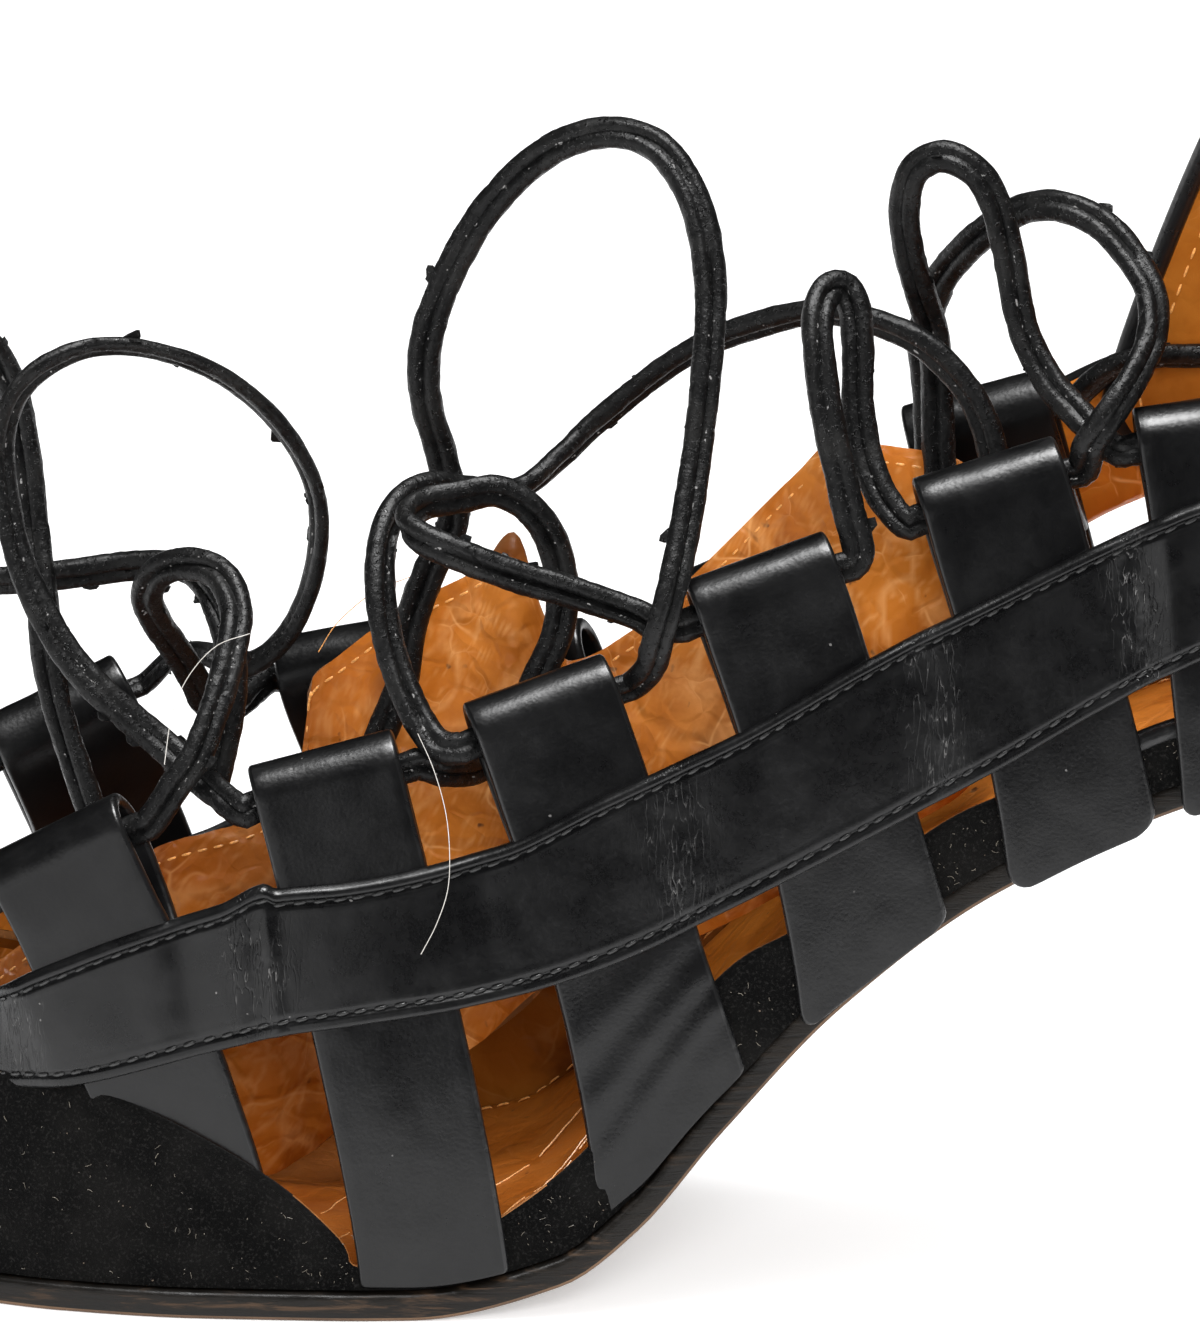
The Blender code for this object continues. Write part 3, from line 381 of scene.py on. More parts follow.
def end_factor(x, grow=0.0):
    """Rounds the toe and the heel seat in plan; grow moves both tips outwards."""
    factor = 1.0
    for tip, radius in ((TOE_X - grow, TOE_ROUND + grow), (HEEL_X + grow, HEEL_ROUND + grow)):
        away = abs(x - tip)
        if away < radius:
            factor = math.sqrt(max(0.0, 1 - ((radius - away) / radius) ** 2))
    return factor


def skewed(x, y):
    """The station whose height a point of the sole takes: the bend is oblique."""
    start, end = SKEW_ENDS
    fade = min(1.0, max(0.0, (end - x) / (end - start)))
    return x + BALL_SKEW * (y - SKEW_SIDE) * fade


def steepness(x):
    slope = (sole_rise(x + 1) - sole_rise(x - 1)) / 2
    return math.sqrt(1 + slope * slope)


def above_sole(x, y, height):
    """Height of a surface that lies this far above the sole's underside, square to it."""
    station = skewed(x, y)
    return sole_rise(station) + height * steepness(station)


def last_half(x, grow=0.0):
    return (sole_half_raw(x) + last_over(x) + grow) * end_factor(x, last_over(x) + grow)


def last_side(x, z, side, out=0.0):
    """Point on the side of the last at one height, moved outwards."""
    half = last_half(x)
    foot = above_sole(x, side * half, SOLE_THICK)
    tall = last_crown(x) - foot
    level = min(1.0, max(0.0, (z - foot) / tall))
    power = last_square(x)
    return side * (half * (1 - level ** power) ** (1 / power) + out) + sole_centre(x)


def strap_path(row, side):
    """Centre line of a strap, as a function from 0 at the foot to 1 at the top."""
    _, foot_x, low, tuck, top_x, top_z, top_half = row
    half = last_half(foot_x)
    foot_y = sole_centre(foot_x) + side * (half + tuck)
    foot_z = above_sole(foot_x, foot_y, SOLE_THICK) + GAP + low
    top_y = sole_centre(top_x) + side * top_half

    def point(t):
        bulge = side * STRAP_BULGE * math.sin(math.pi * min(1.0, t * BULGE_SPAN))
        return Vector((lerp(foot_x, top_x, t ** STRAP_SWEEP),
                       lerp(foot_y, top_y, t ** STRAP_LEAN) + bulge, lerp(foot_z, top_z, t)))

    return point


def strap_side(row, side, z):
    """Where a strap's centre line passes one height."""
    point = strap_path(row, side)
    low, high = point(0.0).z, point(1.0).z
    return point(min(1.0, max(0.0, (z - low) / (high - low))))


def strap_frame(row, side, heading, t):
    """Centre point of a strap at t, its width direction and its outward direction."""
    point = strap_path(row, side)
    here = point(min(1.0, t))
    rise = point(min(1.0, t + SLOPE_STEP)) - point(max(0.0, min(1.0, t) - SLOPE_STEP))
    rise.normalize()
    along = Vector((1.0, heading, 0.0))
    along = (along - rise * along.dot(rise)).normalized()
    return here, along, along.cross(rise) * -side


def cage_headings(side, rows):
    """Plan slope of the cage at each strap, which the strap's width follows."""
    middles = [strap_path(row, side)(0.5) for row in rows[1:]]
    headings = []
    for i in range(len(middles)):
        before = middles[max(0, i - 1)]
        after = middles[min(len(middles) - 1, i + 1)]
        headings.append((after.y - before.y) / (after.x - before.x))
    headings[0] = side * TOE_TAPER
    return headings


def loop_end(name):
    """Three points of a lace in a lace loop: mid-way, at the mouth and just outside it."""
    if not name:
        return []
    face, letter, end = name.split()
    side = OUTER if face == "outer" else INNER
    rows = OUTER_STRAPS if side == OUTER else INNER_STRAPS
    place = [row[0] for row in rows[1:]].index(letter)
    row = rows[place + 1]
    point = strap_path(row, side)
    length = (point(1.0) - point(0.0)).length
    heading = cage_headings(side, rows)[place]
    here, along, away = strap_frame(row, side, heading, 1 - LOOP_RADIUS / length)
    middle = here + away * (STRAP_OUT - LOOP_RADIUS)
    way = 1 if end == "back" else -1
    return [middle + along * way * d
            for d in (GAP / 2, STRAP_WIDTH / 2, STRAP_WIDTH / 2 + LACE_LEAD)]


def smooth_route(points, step):
    """Points at even steps along a smooth curve through the given ones."""
    knots = [Vector(point) for point in points]
    knots = [2 * knots[0] - knots[1], *knots, 2 * knots[-1] - knots[-2]]
    fine = []
    for a, b, c, d in zip(knots, knots[1:], knots[2:], knots[3:]):
        for i in range(SPLINE_STEPS):
            t = i / SPLINE_STEPS
            fine.append(((2 * b) + (c - a) * t + (2 * a - 5 * b + 4 * c - d) * t ** 2
                         + (3 * b - a - 3 * c + d) * t ** 3) / 2)
    fine.append(knots[-2])
    runs = [0.0]
    for here, after in zip(fine, fine[1:]):
        runs.append(runs[-1] + (after - here).length)
    count = max(3, round(runs[-1] / step) + 1)
    even = []
    place = 0
    for target in spread(0.0, runs[-1], count):
        while place < len(runs) - 2 and runs[place + 1] < target:
            place += 1
        share = (target - runs[place]) / (runs[place + 1] - runs[place])
        even.append(fine[place].lerp(fine[place + 1], share))
    return even


def smooth_line(points, step):
    """The same for a flat line of x and height."""
    return [(p.x, p.z) for p in smooth_route([(x, 0.0, z) for x, z in points], step)]


def wander(*place):
    """Smooth noise between about -1 and 1, with features about 1 wide."""
    return noise.noise(Vector(place))


def noise_at(point, size, seed=0.0):
    """The same with features of one size in millimetres."""
    return wander(*(Vector(point) / size + Vector((seed, seed * 1.7, -seed))))


def ramp(value, start, end):
    t = min(1.0, max(0.0, (value - start) / (end - start)))
    return t * t * (3 - 2 * t)


# ---------------------------------------------------------------- the shoe's place
tip_low, tip_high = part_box("heel_tip")
SHIFT = Vector((tip_low[0] / MM - HEEL_TIP_FRONT, (tip_low[1] + tip_high[1]) / 2 / MM, 0.0))


def world(point):
    return (Vector(point) + SHIFT) * MM


def add_object(name, data):
    made = bpy.data.objects.new(name, data)
    bpy.context.scene.collection.objects.link(made)
    return made


# ---------------------------------------------------------------- camera
VIEW_MIDDLE = (-7.35, 0.0, 69.2)   # the point in the middle of the view
VIEW_TALL = 153.95                 # height of the view
VIEW_FAR = 4000.0
VIEW_ELEVATION = 14.0
SENSOR = 36.0


def make_camera():
    eye = bpy.data.cameras.new("camera")
    eye.sensor_width = SENSOR
    eye.sensor_fit = "AUTO"
    eye.lens = SENSOR * VIEW_FAR / VIEW_TALL
    eye.clip_start = 0.05
    eye.clip_end = 30.0
    made = add_object("camera", eye)
    lift = math.radians(VIEW_ELEVATION)
    away = Vector((0.0, -math.cos(lift), math.sin(lift)))
    made.location = world(VIEW_MIDDLE) + away * VIEW_FAR * MM
    made.rotation_euler = (math.pi / 2 - lift, 0.0, 0.0)
    bpy.context.scene.camera = made


make_camera()


# ---------------------------------------------------------------- materials
class Look:
    """A material's node tree with short names for the nodes it needs; sizes in millimetres."""

    def __init__(self, name, rough, specular=0.5, **settings):
        self.made = bpy.data.materials.new(name)
        self.made.use_nodes = True
        self.tree = self.made.node_tree
        self.shader = self.tree.nodes["Principled BSDF"]
        settings.update(Roughness=rough, Specular_IOR_Level=specular)
        for key, value in settings.items():
            self.shader.inputs[key.replace("_", " ")].default_value = value
        self.place = self.node("TexCoord", "Object", {})

    def put(self, node, name, value):
        """Gives a socket another node's output or a plain value."""
        socket = node.inputs[name]
        if isinstance(value, bpy.types.NodeSocket):
            self.tree.links.new(value, socket)
        elif socket.type == "RGBA":
            socket.default_value = (*value, 1.0)
        else:
            socket.default_value = value

    def node(self, kind, result, inputs, **settings):
        """One output of a new node with these inputs and settings."""
        made = self.tree.nodes.new("ShaderNode" + kind)
        for key, value in settings.items():
            setattr(made, key, value)
        for name, value in inputs.items():
            self.put(made, name, value)
        return made.outputs[result]

    def scaled(self, along, across, up):
        """The place, stretched so that a pattern is longer one way."""
        return self.node("Mapping", "Vector", {"Vector": self.place, "Scale": (along, across, up)})

    def noise(self, size, detail=3.0, rough=0.5, twist=0.0, place=None):
        return self.node("TexNoise", "Fac", {
            "Vector": place or self.place, "Scale": METRE / size, "Detail": detail,
            "Roughness": rough, "Distortion": twist})

    def cells(self, size, feature="F1", place=None, result="Distance"):
        return self.node("TexVoronoi", result, {
            "Vector": place or self.place, "Scale": METRE / size}, feature=feature)

    def warped(self, size, amount):
        """The place, moved about by noise."""
        source = self.node("TexNoise", "Color", {"Vector": self.place, "Scale": METRE / size})
        return self.node("VectorMath", "Vector", {0: source, 1: (amount * MM,) * 3, 2: self.place},
                         operation="MULTIPLY_ADD")

    def math(self, operation, a, b):
        return self.node("Math", "Value", {0: a, 1: b}, operation=operation)

    def times(self, a, b):
        return self.math("MULTIPLY", a, b)

    def range(self, value, low, high, to_low=0.0, to_high=1.0):
        """The value eased from one span into another."""
        return self.node("MapRange", "Result", {
            "Value": value, "From Min": low, "From Max": high, "To Min": to_low,
            "To Max": to_high}, interpolation_type="SMOOTHSTEP")

    def mix(self, share, a, b):
        return self.node("Mix", 2, {"Factor": share, 6: a, 7: b}, data_type="RGBA")

    def fade(self, value, low, high, a, b):
        """One colour that turns into another as the value goes from low to high."""
        return self.mix(self.range(value, low, high), a, b)

    def over(self, base, color, share, strength):
        """A colour laid over the base where the share is high."""
        return self.mix(self.times(share, strength), base, color)

    def attribute(self, name):
        return self.node("Attribute", "Fac", {}, attribute_type="GEOMETRY", attribute_name=name)

    def along(self):
        """How far along the shoe a place lies, in metres."""
        return self.node("SeparateXYZ", "X", {"Vector": self.place})

    def specks(self, size, share):
        """Small specks in a share of the cells, of uneven size."""
        place = self.warped(size * 1.5, size * 0.6)
        tint = {"Color": self.cells(size, place=place, result="Color")}
        some = self.range(self.node("SeparateColor", "Red", tint), 1 - share, 1 - share + 0.01)
        reach = self.range(self.node("SeparateColor", "Green", tint), 0.0, 1.0, 0.05, 0.14)
        return self.times(self.math("LESS_THAN", self.cells(size, place=place), reach), some)

    def color(self, value):
        self.put(self.shader, "Base Color", value)

    def rough(self, value):
        self.put(self.shader, "Roughness", value)

    def bump(self, *layers):
        """Each layer is a height of 0 to 1 and its depth."""
        below = None
        for value, depth in layers:
            inputs = {"Height": value, "Distance": depth * MM, "Strength": 1.0}
            if below:
                inputs["Normal"] = below
            below = self.node("Bump", "Normal", inputs)
        self.put(self.shader, "Normal", below)
        return self.made


BLACK = (0.0020, 0.0020, 0.0022)
BLACK_WORN = (0.0050, 0.0050, 0.0052)
# grey of rubbed creases: partly wear, partly painted sheen
BLACK_RUBBED_AND_SHEEN = (0.026, 0.026, 0.026)
DUST = (0.16, 0.155, 0.15)
TAN = (0.47, 0.150, 0.018)
TAN_DEEP = (0.36, 0.100, 0.010)
TAN_PAINTED_SHADE = (0.17, 0.038, 0.003)
TAN_PAINTED_HIGHLIGHT = (0.70, 0.34, 0.12)
TAN_SPOT = (0.11, 0.035, 0.010)
TAN_PAINTED_DEEP_SHADE = (0.10, 0.026, 0.004)


def tinted(color, tone):
    return tuple(tone * c for c in color)


def strap_look():
    look = Look("strap_leather", 0.3, 0.36)
    worn, fine = look.noise(9.0, 4.0, 0.6), look.noise(0.55, 3.0, 0.6)
    base = look.fade(worn, 0.35, 0.75, BLACK, BLACK_WORN)
    look.color(look.over(base, DUST, look.specks(1.3, 0.030), 0.5))
    look.rough(look.math("ADD", look.range(worn, 0.3, 0.75, 0.27, 0.34),
                         look.range(fine, 0.4, 0.7, 0.0, 0.06)))
    return look.bump((look.noise(14.0, 2.0), 0.45), (fine, 0.016),
                     (look.cells(0.42, "SMOOTH_F1"), 0.014))


def band_look():
    """Polished leather with fine upright creases where the foot bends it, and painted glints and a
    partly painted sheen on them.
    """
    look = Look("band_leather", 0.3, 0.36)
    crease = look.attribute("crease")
    worn, fine = look.noise(7.0, 4.0, 0.6), look.noise(0.5, 3.0, 0.6)
    lines = look.noise(0.9, 2.0, 0.5, 0.25, look.scaled(1.0, 1.0, 0.16))
    near = look.math("ABSOLUTE", look.math("SUBTRACT", lines, 0.5), 0.0)
    some = look.range(look.noise(1.6, 3.0, 0.6), 0.50, 0.62)
    # painted highlight: pale glints drawn along the crease lines
    painted_glint = look.times(look.times(look.range(near, 0.014, 0.002), crease), some)
    # greyer where creased: partly rubbed wear, partly painted sheen
    rub = look.times(crease, look.range(look.noise(2.4, 4.0, 0.65), 0.42, 0.75))
    base = look.fade(worn, 0.35, 0.75, BLACK, (0.0052, 0.0052, 0.0054))
    base = look.over(base, BLACK_RUBBED_AND_SHEEN, rub, 0.7)
    base = look.over(base, (0.20, 0.195, 0.19), painted_glint, 0.75)
    look.color(look.over(base, DUST, look.specks(1.2, 0.035), 0.6))
    look.rough(look.math("ADD", look.range(worn, 0.3, 0.75, 0.25, 0.33),
                         look.range(fine, 0.4, 0.7, 0.0, 0.07)))
    return look.bump((look.noise(11.0, 2.0), 0.40), (fine, 0.018),
                     (look.times(look.range(near, 0.0, 0.05), crease), 0.10))


def suede_look():
    look = Look("black_suede", 0.95, 0.06, Sheen_Weight=0.03, Sheen_Roughness=0.5)
    nap, patch = look.noise(0.35, 4.0, 0.7), look.noise(9.0, 3.0, 0.55)
    base = look.fade(patch, 0.35, 0.7, (0.0014, 0.0014, 0.0014), (0.0040, 0.0038, 0.0036))
    base = look.fade(nap, 0.50, 0.72, base, (0.011, 0.0105, 0.010))
    look.color(look.over(base, (0.13, 0.10, 0.075), look.specks(0.9, 0.05), 0.6))
    return look.bump((nap, 0.10), (patch, 0.35))


def lining_look(name, crinkle, tone=1.0, front=None):
    """Tan lining leather: shallow folds, painted highlight along a few crease lines and on crests,
    painted shade in darker patches.

    front: painted shade, darker ahead of a place; start and end of the fade, and how much.
    """
    look = Look(name, 0.4, 0.20)
    winding = look.warped(11.0, 8.0)
    folds = look.cells(12.0, "DISTANCE_TO_EDGE", winding)
    finer = look.cells(4.6, "DISTANCE_TO_EDGE", look.warped(6.0, 5.0))
    patch, painted_shade = look.noise(9.0, 4.0, 0.6), look.noise(16.0, 4.0, 0.6, 0.6)
    painted_highlight = tinted(TAN_PAINTED_HIGHLIGHT, tone)
    base = look.fade(patch, 0.32, 0.68, tinted(TAN_DEEP, tone), tinted(TAN, tone))
    # painted shade: soft darker patches
    base = look.fade(painted_shade, 0.52, 0.76, base, tinted(TAN_PAINTED_SHADE, tone))
    base = look.fade(look.noise(2.4, 2.0), 0.70, 0.76, base, tinted(TAN_SPOT, tone))
    # painted highlight: pale lines along the ridges of the large and the fine folds
    line = look.times(look.range(folds, 0.022, 0.0), look.range(look.noise(7.0, 2.0), 0.48, 0.62))
    base = look.over(base, painted_highlight, line, 0.50 * crinkle)
    hair = look.times(look.range(finer, 0.030, 0.0),
                      look.range(look.noise(6.0, 2.0, place=winding), 0.54, 0.64))
    base = look.over(base, painted_highlight, hair, 0.30 * crinkle)
    # painted highlight on the crests that a piece marks
    crest = look.times(look.attribute("crest"), look.range(patch, 0.25, 0.6))
    base = look.over(base, painted_highlight, crest, 0.5)
    if front:
        start, end, strength = front
        # painted shade ahead of a place
        base = look.over(base, TAN_PAINTED_SHADE, look.range(look.along(), start, end), strength)
    # painted shade where a piece marks it, as on the tongue's tip behind the laces
    look.color(look.mix(look.attribute("painted_shade"), base, tinted(TAN_PAINTED_DEEP_SHADE, tone)))
    look.rough(look.range(patch, 0.3, 0.7, 0.32, 0.48))
    return look.bump((look.range(folds, 0.0, 0.12), 0.30 * crinkle),
                     (look.range(finer, 0.0, 0.16), 0.10 * crinkle),
                     (look.noise(5.0, 3.0), 0.45 * crinkle), (look.noise(0.5, 2.0), 0.025))


def lace_look():
    """A rolled strip of worn leather: dull skin with glinting lumps and lengthwise splits."""
    look = Look("lace_leather", 0.42, 0.30)
    lumps, split = look.noise(1.1, 4.0, 0.6), look.attribute("crease")
    glint = look.range(look.noise(0.55, 3.0, 0.65), 0.57, 0.64)
    base = look.fade(lumps, 0.35, 0.75, (0.0018, 0.0018, 0.0019), (0.0060, 0.0060, 0.0060))
    grey = look.range(look.noise(6.0, 3.0), 0.52, 0.66)
    base = look.over(base, (0.009, 0.0088, 0.0085), grey, 0.7)
    # painted shade in the splits
    base = look.over(base, (0.0010, 0.0010, 0.0010), split, 0.6)
    # painted highlight: pale broken dashes along the brinks of the splits, as glints
    brink = look.times(look.range(split, 0.12, 0.20), look.range(split, 0.36, 0.28))
    painted_glint_dash = look.times(brink, look.range(look.noise(0.75, 3.0), 0.63, 0.68))
    base = look.over(base, (0.24, 0.235, 0.23), painted_glint_dash, 0.8)
    look.color(look.over(base, DUST, look.specks(0.8, 0.06), 0.8))
    look.rough(look.math("SUBTRACT", 0.44, look.times(glint, 0.30)))
    return look.bump((lumps, 0.20), (glint, 0.06), (look.noise(0.35, 3.0), 0.03))


def paint_look(name, color, rough):
    """Painted edge of the leather, a little uneven."""
    look = Look(name, rough, 0.5)
    wear = look.noise(2.2, 4.0, 0.7)
    look.color(look.fade(wear, 0.55, 0.8, color, tinted(color, 2.2)))
    look.rough(look.range(wear, 0.3, 0.8, rough - 0.06, rough + 0.10))
    return look.bump((look.noise(1.1, 3.0), 0.06))


def sole_edge_look():
    """Black edge dressing, rubbed through to brown under the arch and the ball."""
    look = Look("sole_edge", 0.4, 0.26)
    scuff = look.noise(2.6, 5.0, 0.7, 0.4, look.scaled(0.22, 0.22, 2.2))
    spot = look.range(look.noise(20.0, 3.0), 0.45, 0.60)
    place = look.times(look.range(look.along(), -0.095, -0.060),
                       look.range(look.along(), 0.006, -0.012))
    patch = look.math("MAXIMUM", place, look.times(spot, 0.35))
    worn = look.times(look.range(scuff, 0.52, 0.68), patch)
    base = look.fade(scuff, 0.3, 0.8, (0.0035, 0.0030, 0.0025), (0.012, 0.009, 0.0065))
    look.color(look.over(base, (0.085, 0.048, 0.026), worn, 0.45))
    look.rough(look.range(scuff, 0.35, 0.7, 0.36, 0.62))
    return look.bump((scuff, 0.16), (look.noise(0.6, 3.0), 0.03))


def sole_leather_look():
    look = Look("sole_leather", 0.62, 0.35)
    rub, fine = look.noise(16.0, 5.0, 0.65, 0.4), look.noise(0.7, 3.0, 0.6)
    scratch = look.noise(1.2, 4.0, 0.6, 0.2, look.scaled(0.12, 1.0, 1.0))
    base = look.fade(rub, 0.35, 0.7, (0.115, 0.066, 0.036), (0.065, 0.037, 0.021))
    look.color(look.fade(scratch, 0.6, 0.74, base, (0.05, 0.029, 0.018)))
    return look.bump((fine, 0.04), (scratch, 0.08))


def thread_look(name, color):
    look = Look(name, 0.34, 0.5)
    strand = look.noise(0.35, 2.0)
    look.color(look.fade(strand, 0.35, 0.7, color, tinted(color, 1.9)))
    return look.bump((strand, 0.06))


def rubber_look():
    look = Look("heel_rubber", 0.68, 0.35)
    fine = look.noise(0.5, 3.0, 0.6)
    look.color(look.fade(fine, 0.4, 0.75, (0.013, 0.013, 0.013), (0.03, 0.029, 0.028)))
    return look.bump((fine, 0.05), (look.noise(5.0, 3.0), 0.15))


def hair_look():
    look = Look("loose_hair", 0.45, 0.5)
    tint = look.noise(3.0, 2.0)
    look.color(look.mix(tint, (0.34, 0.32, 0.29), (0.55, 0.53, 0.50)))
    return look.bump((tint, 0.02))


# The floor glows: painted light that lightens the shadows on it and lights the shoe's lower parts.
def glowing_floor_look():
    look = Look("pale_glowing_floor", 0.85, 0.1, Emission_Color=(1, 1, 1, 1), Emission_Strength=0.34)
    look.color(look.mix(look.noise(400.0, 2.0), (0.80, 0.80, 0.805), (0.82, 0.82, 0.825)))
    return look.bump((look.noise(3.0, 2.0), 0.01))


STRAP = strap_look()
BAND_LEATHER = band_look()
SUEDE = suede_look()
# Copies of one tan leather, each toned to how bright it looks where it sits: partly its own tone,
# partly painted light on insole and band lining and painted shade on the wall lining. The fronts of
# tongue and insole get painted shade.
LINING = lining_look("tan_lining", 1.0, front=(-0.035, -0.044, 0.55))
INSOLE = lining_look("insole_leather", 0.4, 1.7, (0.002, -0.006, 0.6))
WALL_LINING = lining_look("wall_lining", 0.35, 0.65)
BAND_LINING = lining_look("band_lining", 1.0, 1.5)
LACE = lace_look()
EDGE = paint_look("edge_paint", BLACK_WORN, 0.32)
TAN_EDGE = paint_look("tan_edge", (0.30, 0.12, 0.035), 0.5)
SOLE_EDGE = sole_edge_look()
SOLE_LEATHER = sole_leather_look()
BLACK_THREAD = thread_look("black_thread", (0.013, 0.013, 0.013))
TAN_THREAD = thread_look("tan_thread", (0.50, 0.22, 0.06))
RUBBER = rubber_look()
HAIR = hair_look()
LINT = thread_look("lint", (0.085, 0.075, 0.060))
# pale crests of the insole's creases: painted highlight
TAN_CREST_HIGHLIGHT = thread_look("painted_crease_highlight", (0.66, 0.34, 0.13))


# ---------------------------------------------------------------- pieces
WELD = 0.000005           # points this close become one, in metres
MARK_DIGITS = 7           # places are compared to this many digits, in metres


def form(name, points, faces, looks, picks=None):
    """A mesh from points in millimetres, its faces turned outwards."""
    mesh = bpy.data.meshes.new(name)
    mesh.from_pydata([world(point) for point in points], [], faces)
    for look in looks:
        mesh.materials.append(look)
    if picks:
        mesh.polygons.foreach_set("material_index", picks)
    tidy = bmesh.new()
    tidy.from_mesh(mesh)
    bmesh.ops.remove_doubles(tidy, verts=tidy.verts, dist=WELD)
    bmesh.ops.recalc_face_normals(tidy, faces=tidy.faces)
    tidy.to_mesh(mesh)
    tidy.free()
    return add_object(name, mesh)


def dress(made, stands_for=(), sharp=50):
    """Shades a piece and lets it ride on the shoe."""
    made.data.shade_smooth()
    made.data.set_sharp_from_angle(angle=math.radians(sharp))
    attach(made, "root")
    if stands_for:
        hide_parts(*stands_for)
    return made


def piece(name, points, faces, looks, stands_for=(), picks=None, sharp=50):
    return dress(form(name, points, faces, looks, picks), stands_for, sharp)


def add_marks(made, points, marks, name="crease"):
    """A value for each vertex, found again by its place."""
    def key(place):
        return tuple(round(c, MARK_DIGITS) for c in place)

    spots = {key(world(point)): mark for point, mark in zip(points, marks)}
    layer = made.data.attributes.new(name, "FLOAT", "POINT")
    layer.data.foreach_set("value", [spots.get(key(v.co), 0.0) for v in made.data.vertices])


def join(points, faces, more, sides):
    """Adds one closed body to a growing list of points and faces."""
    first = len(points)
    points += more
    faces += [tuple(first + v for v in face) for face in sides]


def ring_faces(rings, around, caps=True):
    """Faces of a closed loft: quads from ring to ring and a cap at each end."""
    faces = []
    for a in range(0, (rings - 1) * around, around):
        for i in range(around):
            j = (i + 1) % around
            faces.append((a + i, a + j, a + around + j, a + around + i))
    if caps:
        faces.append(tuple(range(around)))
        faces.append(tuple(range((rings - 1) * around, rings * around)))
    return faces


def turns_of(count):
    return [2 * math.pi * k / count for k in range(count)]


def step_over(route, i):
    """From the point before to the point after, within the route."""
    return route[min(i + 1, len(route) - 1)] - route[max(i - 1, 0)]


def tube(route, radius, around):
    """Rings round a route with no sudden twist; radius is a number or a function of the place."""
    points = []
    side = UP
    for i, here in enumerate(route):
        tangent = step_over(route, i).normalized()
        side = side - tangent * side.dot(tangent)
        if side.length < 0.001:
            side = tangent.orthogonal()
        side.normalize()
        other = tangent.cross(side)
        reach = radius(i) if callable(radius) else radius
        points += [here + (side * math.cos(turn) + other * math.sin(turn)) * reach
                   for turn in turns_of(around)]
    return points, ring_faces(len(route), around)


# ---------------------------------------------------------------- stitches
# Pitch, length, radius, slant across the row, look and slot
STITCHES = {
    "quarter": (2.5, 1.7, 0.17, 0.0, TAN_THREAD, "upper"),
    "band": (2.3, 1.65, 0.24, 0.10, BLACK_THREAD, "upper"),
    "tongue": (1.9, 1.3, 0.16, 0.0, TAN_THREAD, "tongue"),
    "insole": (2.4, 1.6, 0.15, 0.0, TAN_THREAD, "insole"),
}
STITCH_STEPS = (-1.0, -0.86, -0.5, 0.0, 0.5, 0.86, 1.0)
STITCH_AROUND = 8
STITCH_SINK = 0.9         # its ends bend down by this share of its radius
STITCH_BLUNT = 0.15       # radius of a stitch's ends as a share of its own
ROW_POINTS = 700          # fine points along a row


def capsule(start, end, radius, out):
    """A short stitch: a low rounded body between two points."""
    axis = end - start
    over = axis.normalized().cross(out).normalized()
    points = []
    for s in STITCH_STEPS:
        reach = radius * (1 - s ** 4) ** 0.5 if abs(s) < 1 else radius * STITCH_BLUNT
        middle = (start + end) / 2 + axis / 2 * s - out * radius * STITCH_SINK * s ** 4
        points += [middle + (over * math.cos(turn) + out * math.sin(turn)) * reach
                   for turn in turns_of(STITCH_AROUND)]
    return points, ring_faces(len(STITCH_STEPS), STITCH_AROUND)


def stitch_row(name, kind, line, out):
    """Stitches along a line of points; each leans across it, so that the row reads as twisted."""
    pitch, long, radius, slant, look, slot = STITCHES[kind]
    points, faces = [], []
    run = 0.0
    for before, here in zip(line, line[1:]):
        run += (here - before).length
        if run < pitch:
            continue
        run -= pitch
        along = (here - before).normalized()
        half = along * long / 2 + out.cross(along).normalized() * slant
        join(points, faces, *capsule(here - half, here + half, radius, out))
    piece(name, points, faces, [look])


# ---------------------------------------------------------------- laces
LACE_FINE = 0.6           # spacing of the rings along a lace
LACE_AROUND = 28          # points round a lace
LACE_FULL = 1.06          # the lumpy skin stands out past the cord's width by this share
LACE_FLAT = 0.62          # thickness of the rolled strip as a share of its width
LACE_THIN = {"lace_arc_front": 0.44}   # one lace is pressed flatter
LACE_SEED = {name: 3.0 + 1.7 * i for i, name in enumerate(LACES)}
# Turn of the strip about its own line at its start, middle and end, in degrees:
# 0 shows its broad face to the outer side, 90 its thin edge.
LACE_TURN = {
    "lace_arc_front": (8, 62, 75), "lace_hook_front": (15, 5, 30),
    "lace_end_outer": (20, 10, 35), "lace_end_inner": (60, 30, 15),
    "lace_ring_middle": (10, -8, 12), "lace_arc_middle": (30, 55, 25),
    "lace_arc_tall": (35, 18, 4), "lace_pin_back": (5, 20, 0),
    "lace_arc_back": (10, 35, 20), "lace_bow_back": (15, 30, 10),
    "lace_top_crossing": (70, 55, 70),
}
SPLIT_WIDE = 0.16         # width of its split, how far it drifts and how deep it cuts
SPLIT_DRIFT = 0.22
SPLIT_DEEP = 0.55
SPLIT_BACK = 0.7          # strength of the split on the far face
LACE_SWELL = 0.07         # its width varies by this share, and its thickness by the next
LACE_PRESS = 0.16
LACE_LUMPS = (0.06, 0.05)  # broad and fine lumps of its skin, as shares of its half width
LACE_NICKS = 0.10         # and its nicks
FLAT_SIGHT = 0.35         # where a lace runs less than this across the view, it keeps its turn
FLAKE_CLEAR = 8           # no flakes on this many rings at each end
RINGS_PER_FLAKE = 4
FLAKE_SIZE = (0.18, 0.5)
FLAKE_THIN = 0.09         # half the thickness of a flake
BIG_FLAKES = 0.14         # share of the flakes that stand up further, and how much further
BIG_FLAKE = 2.3


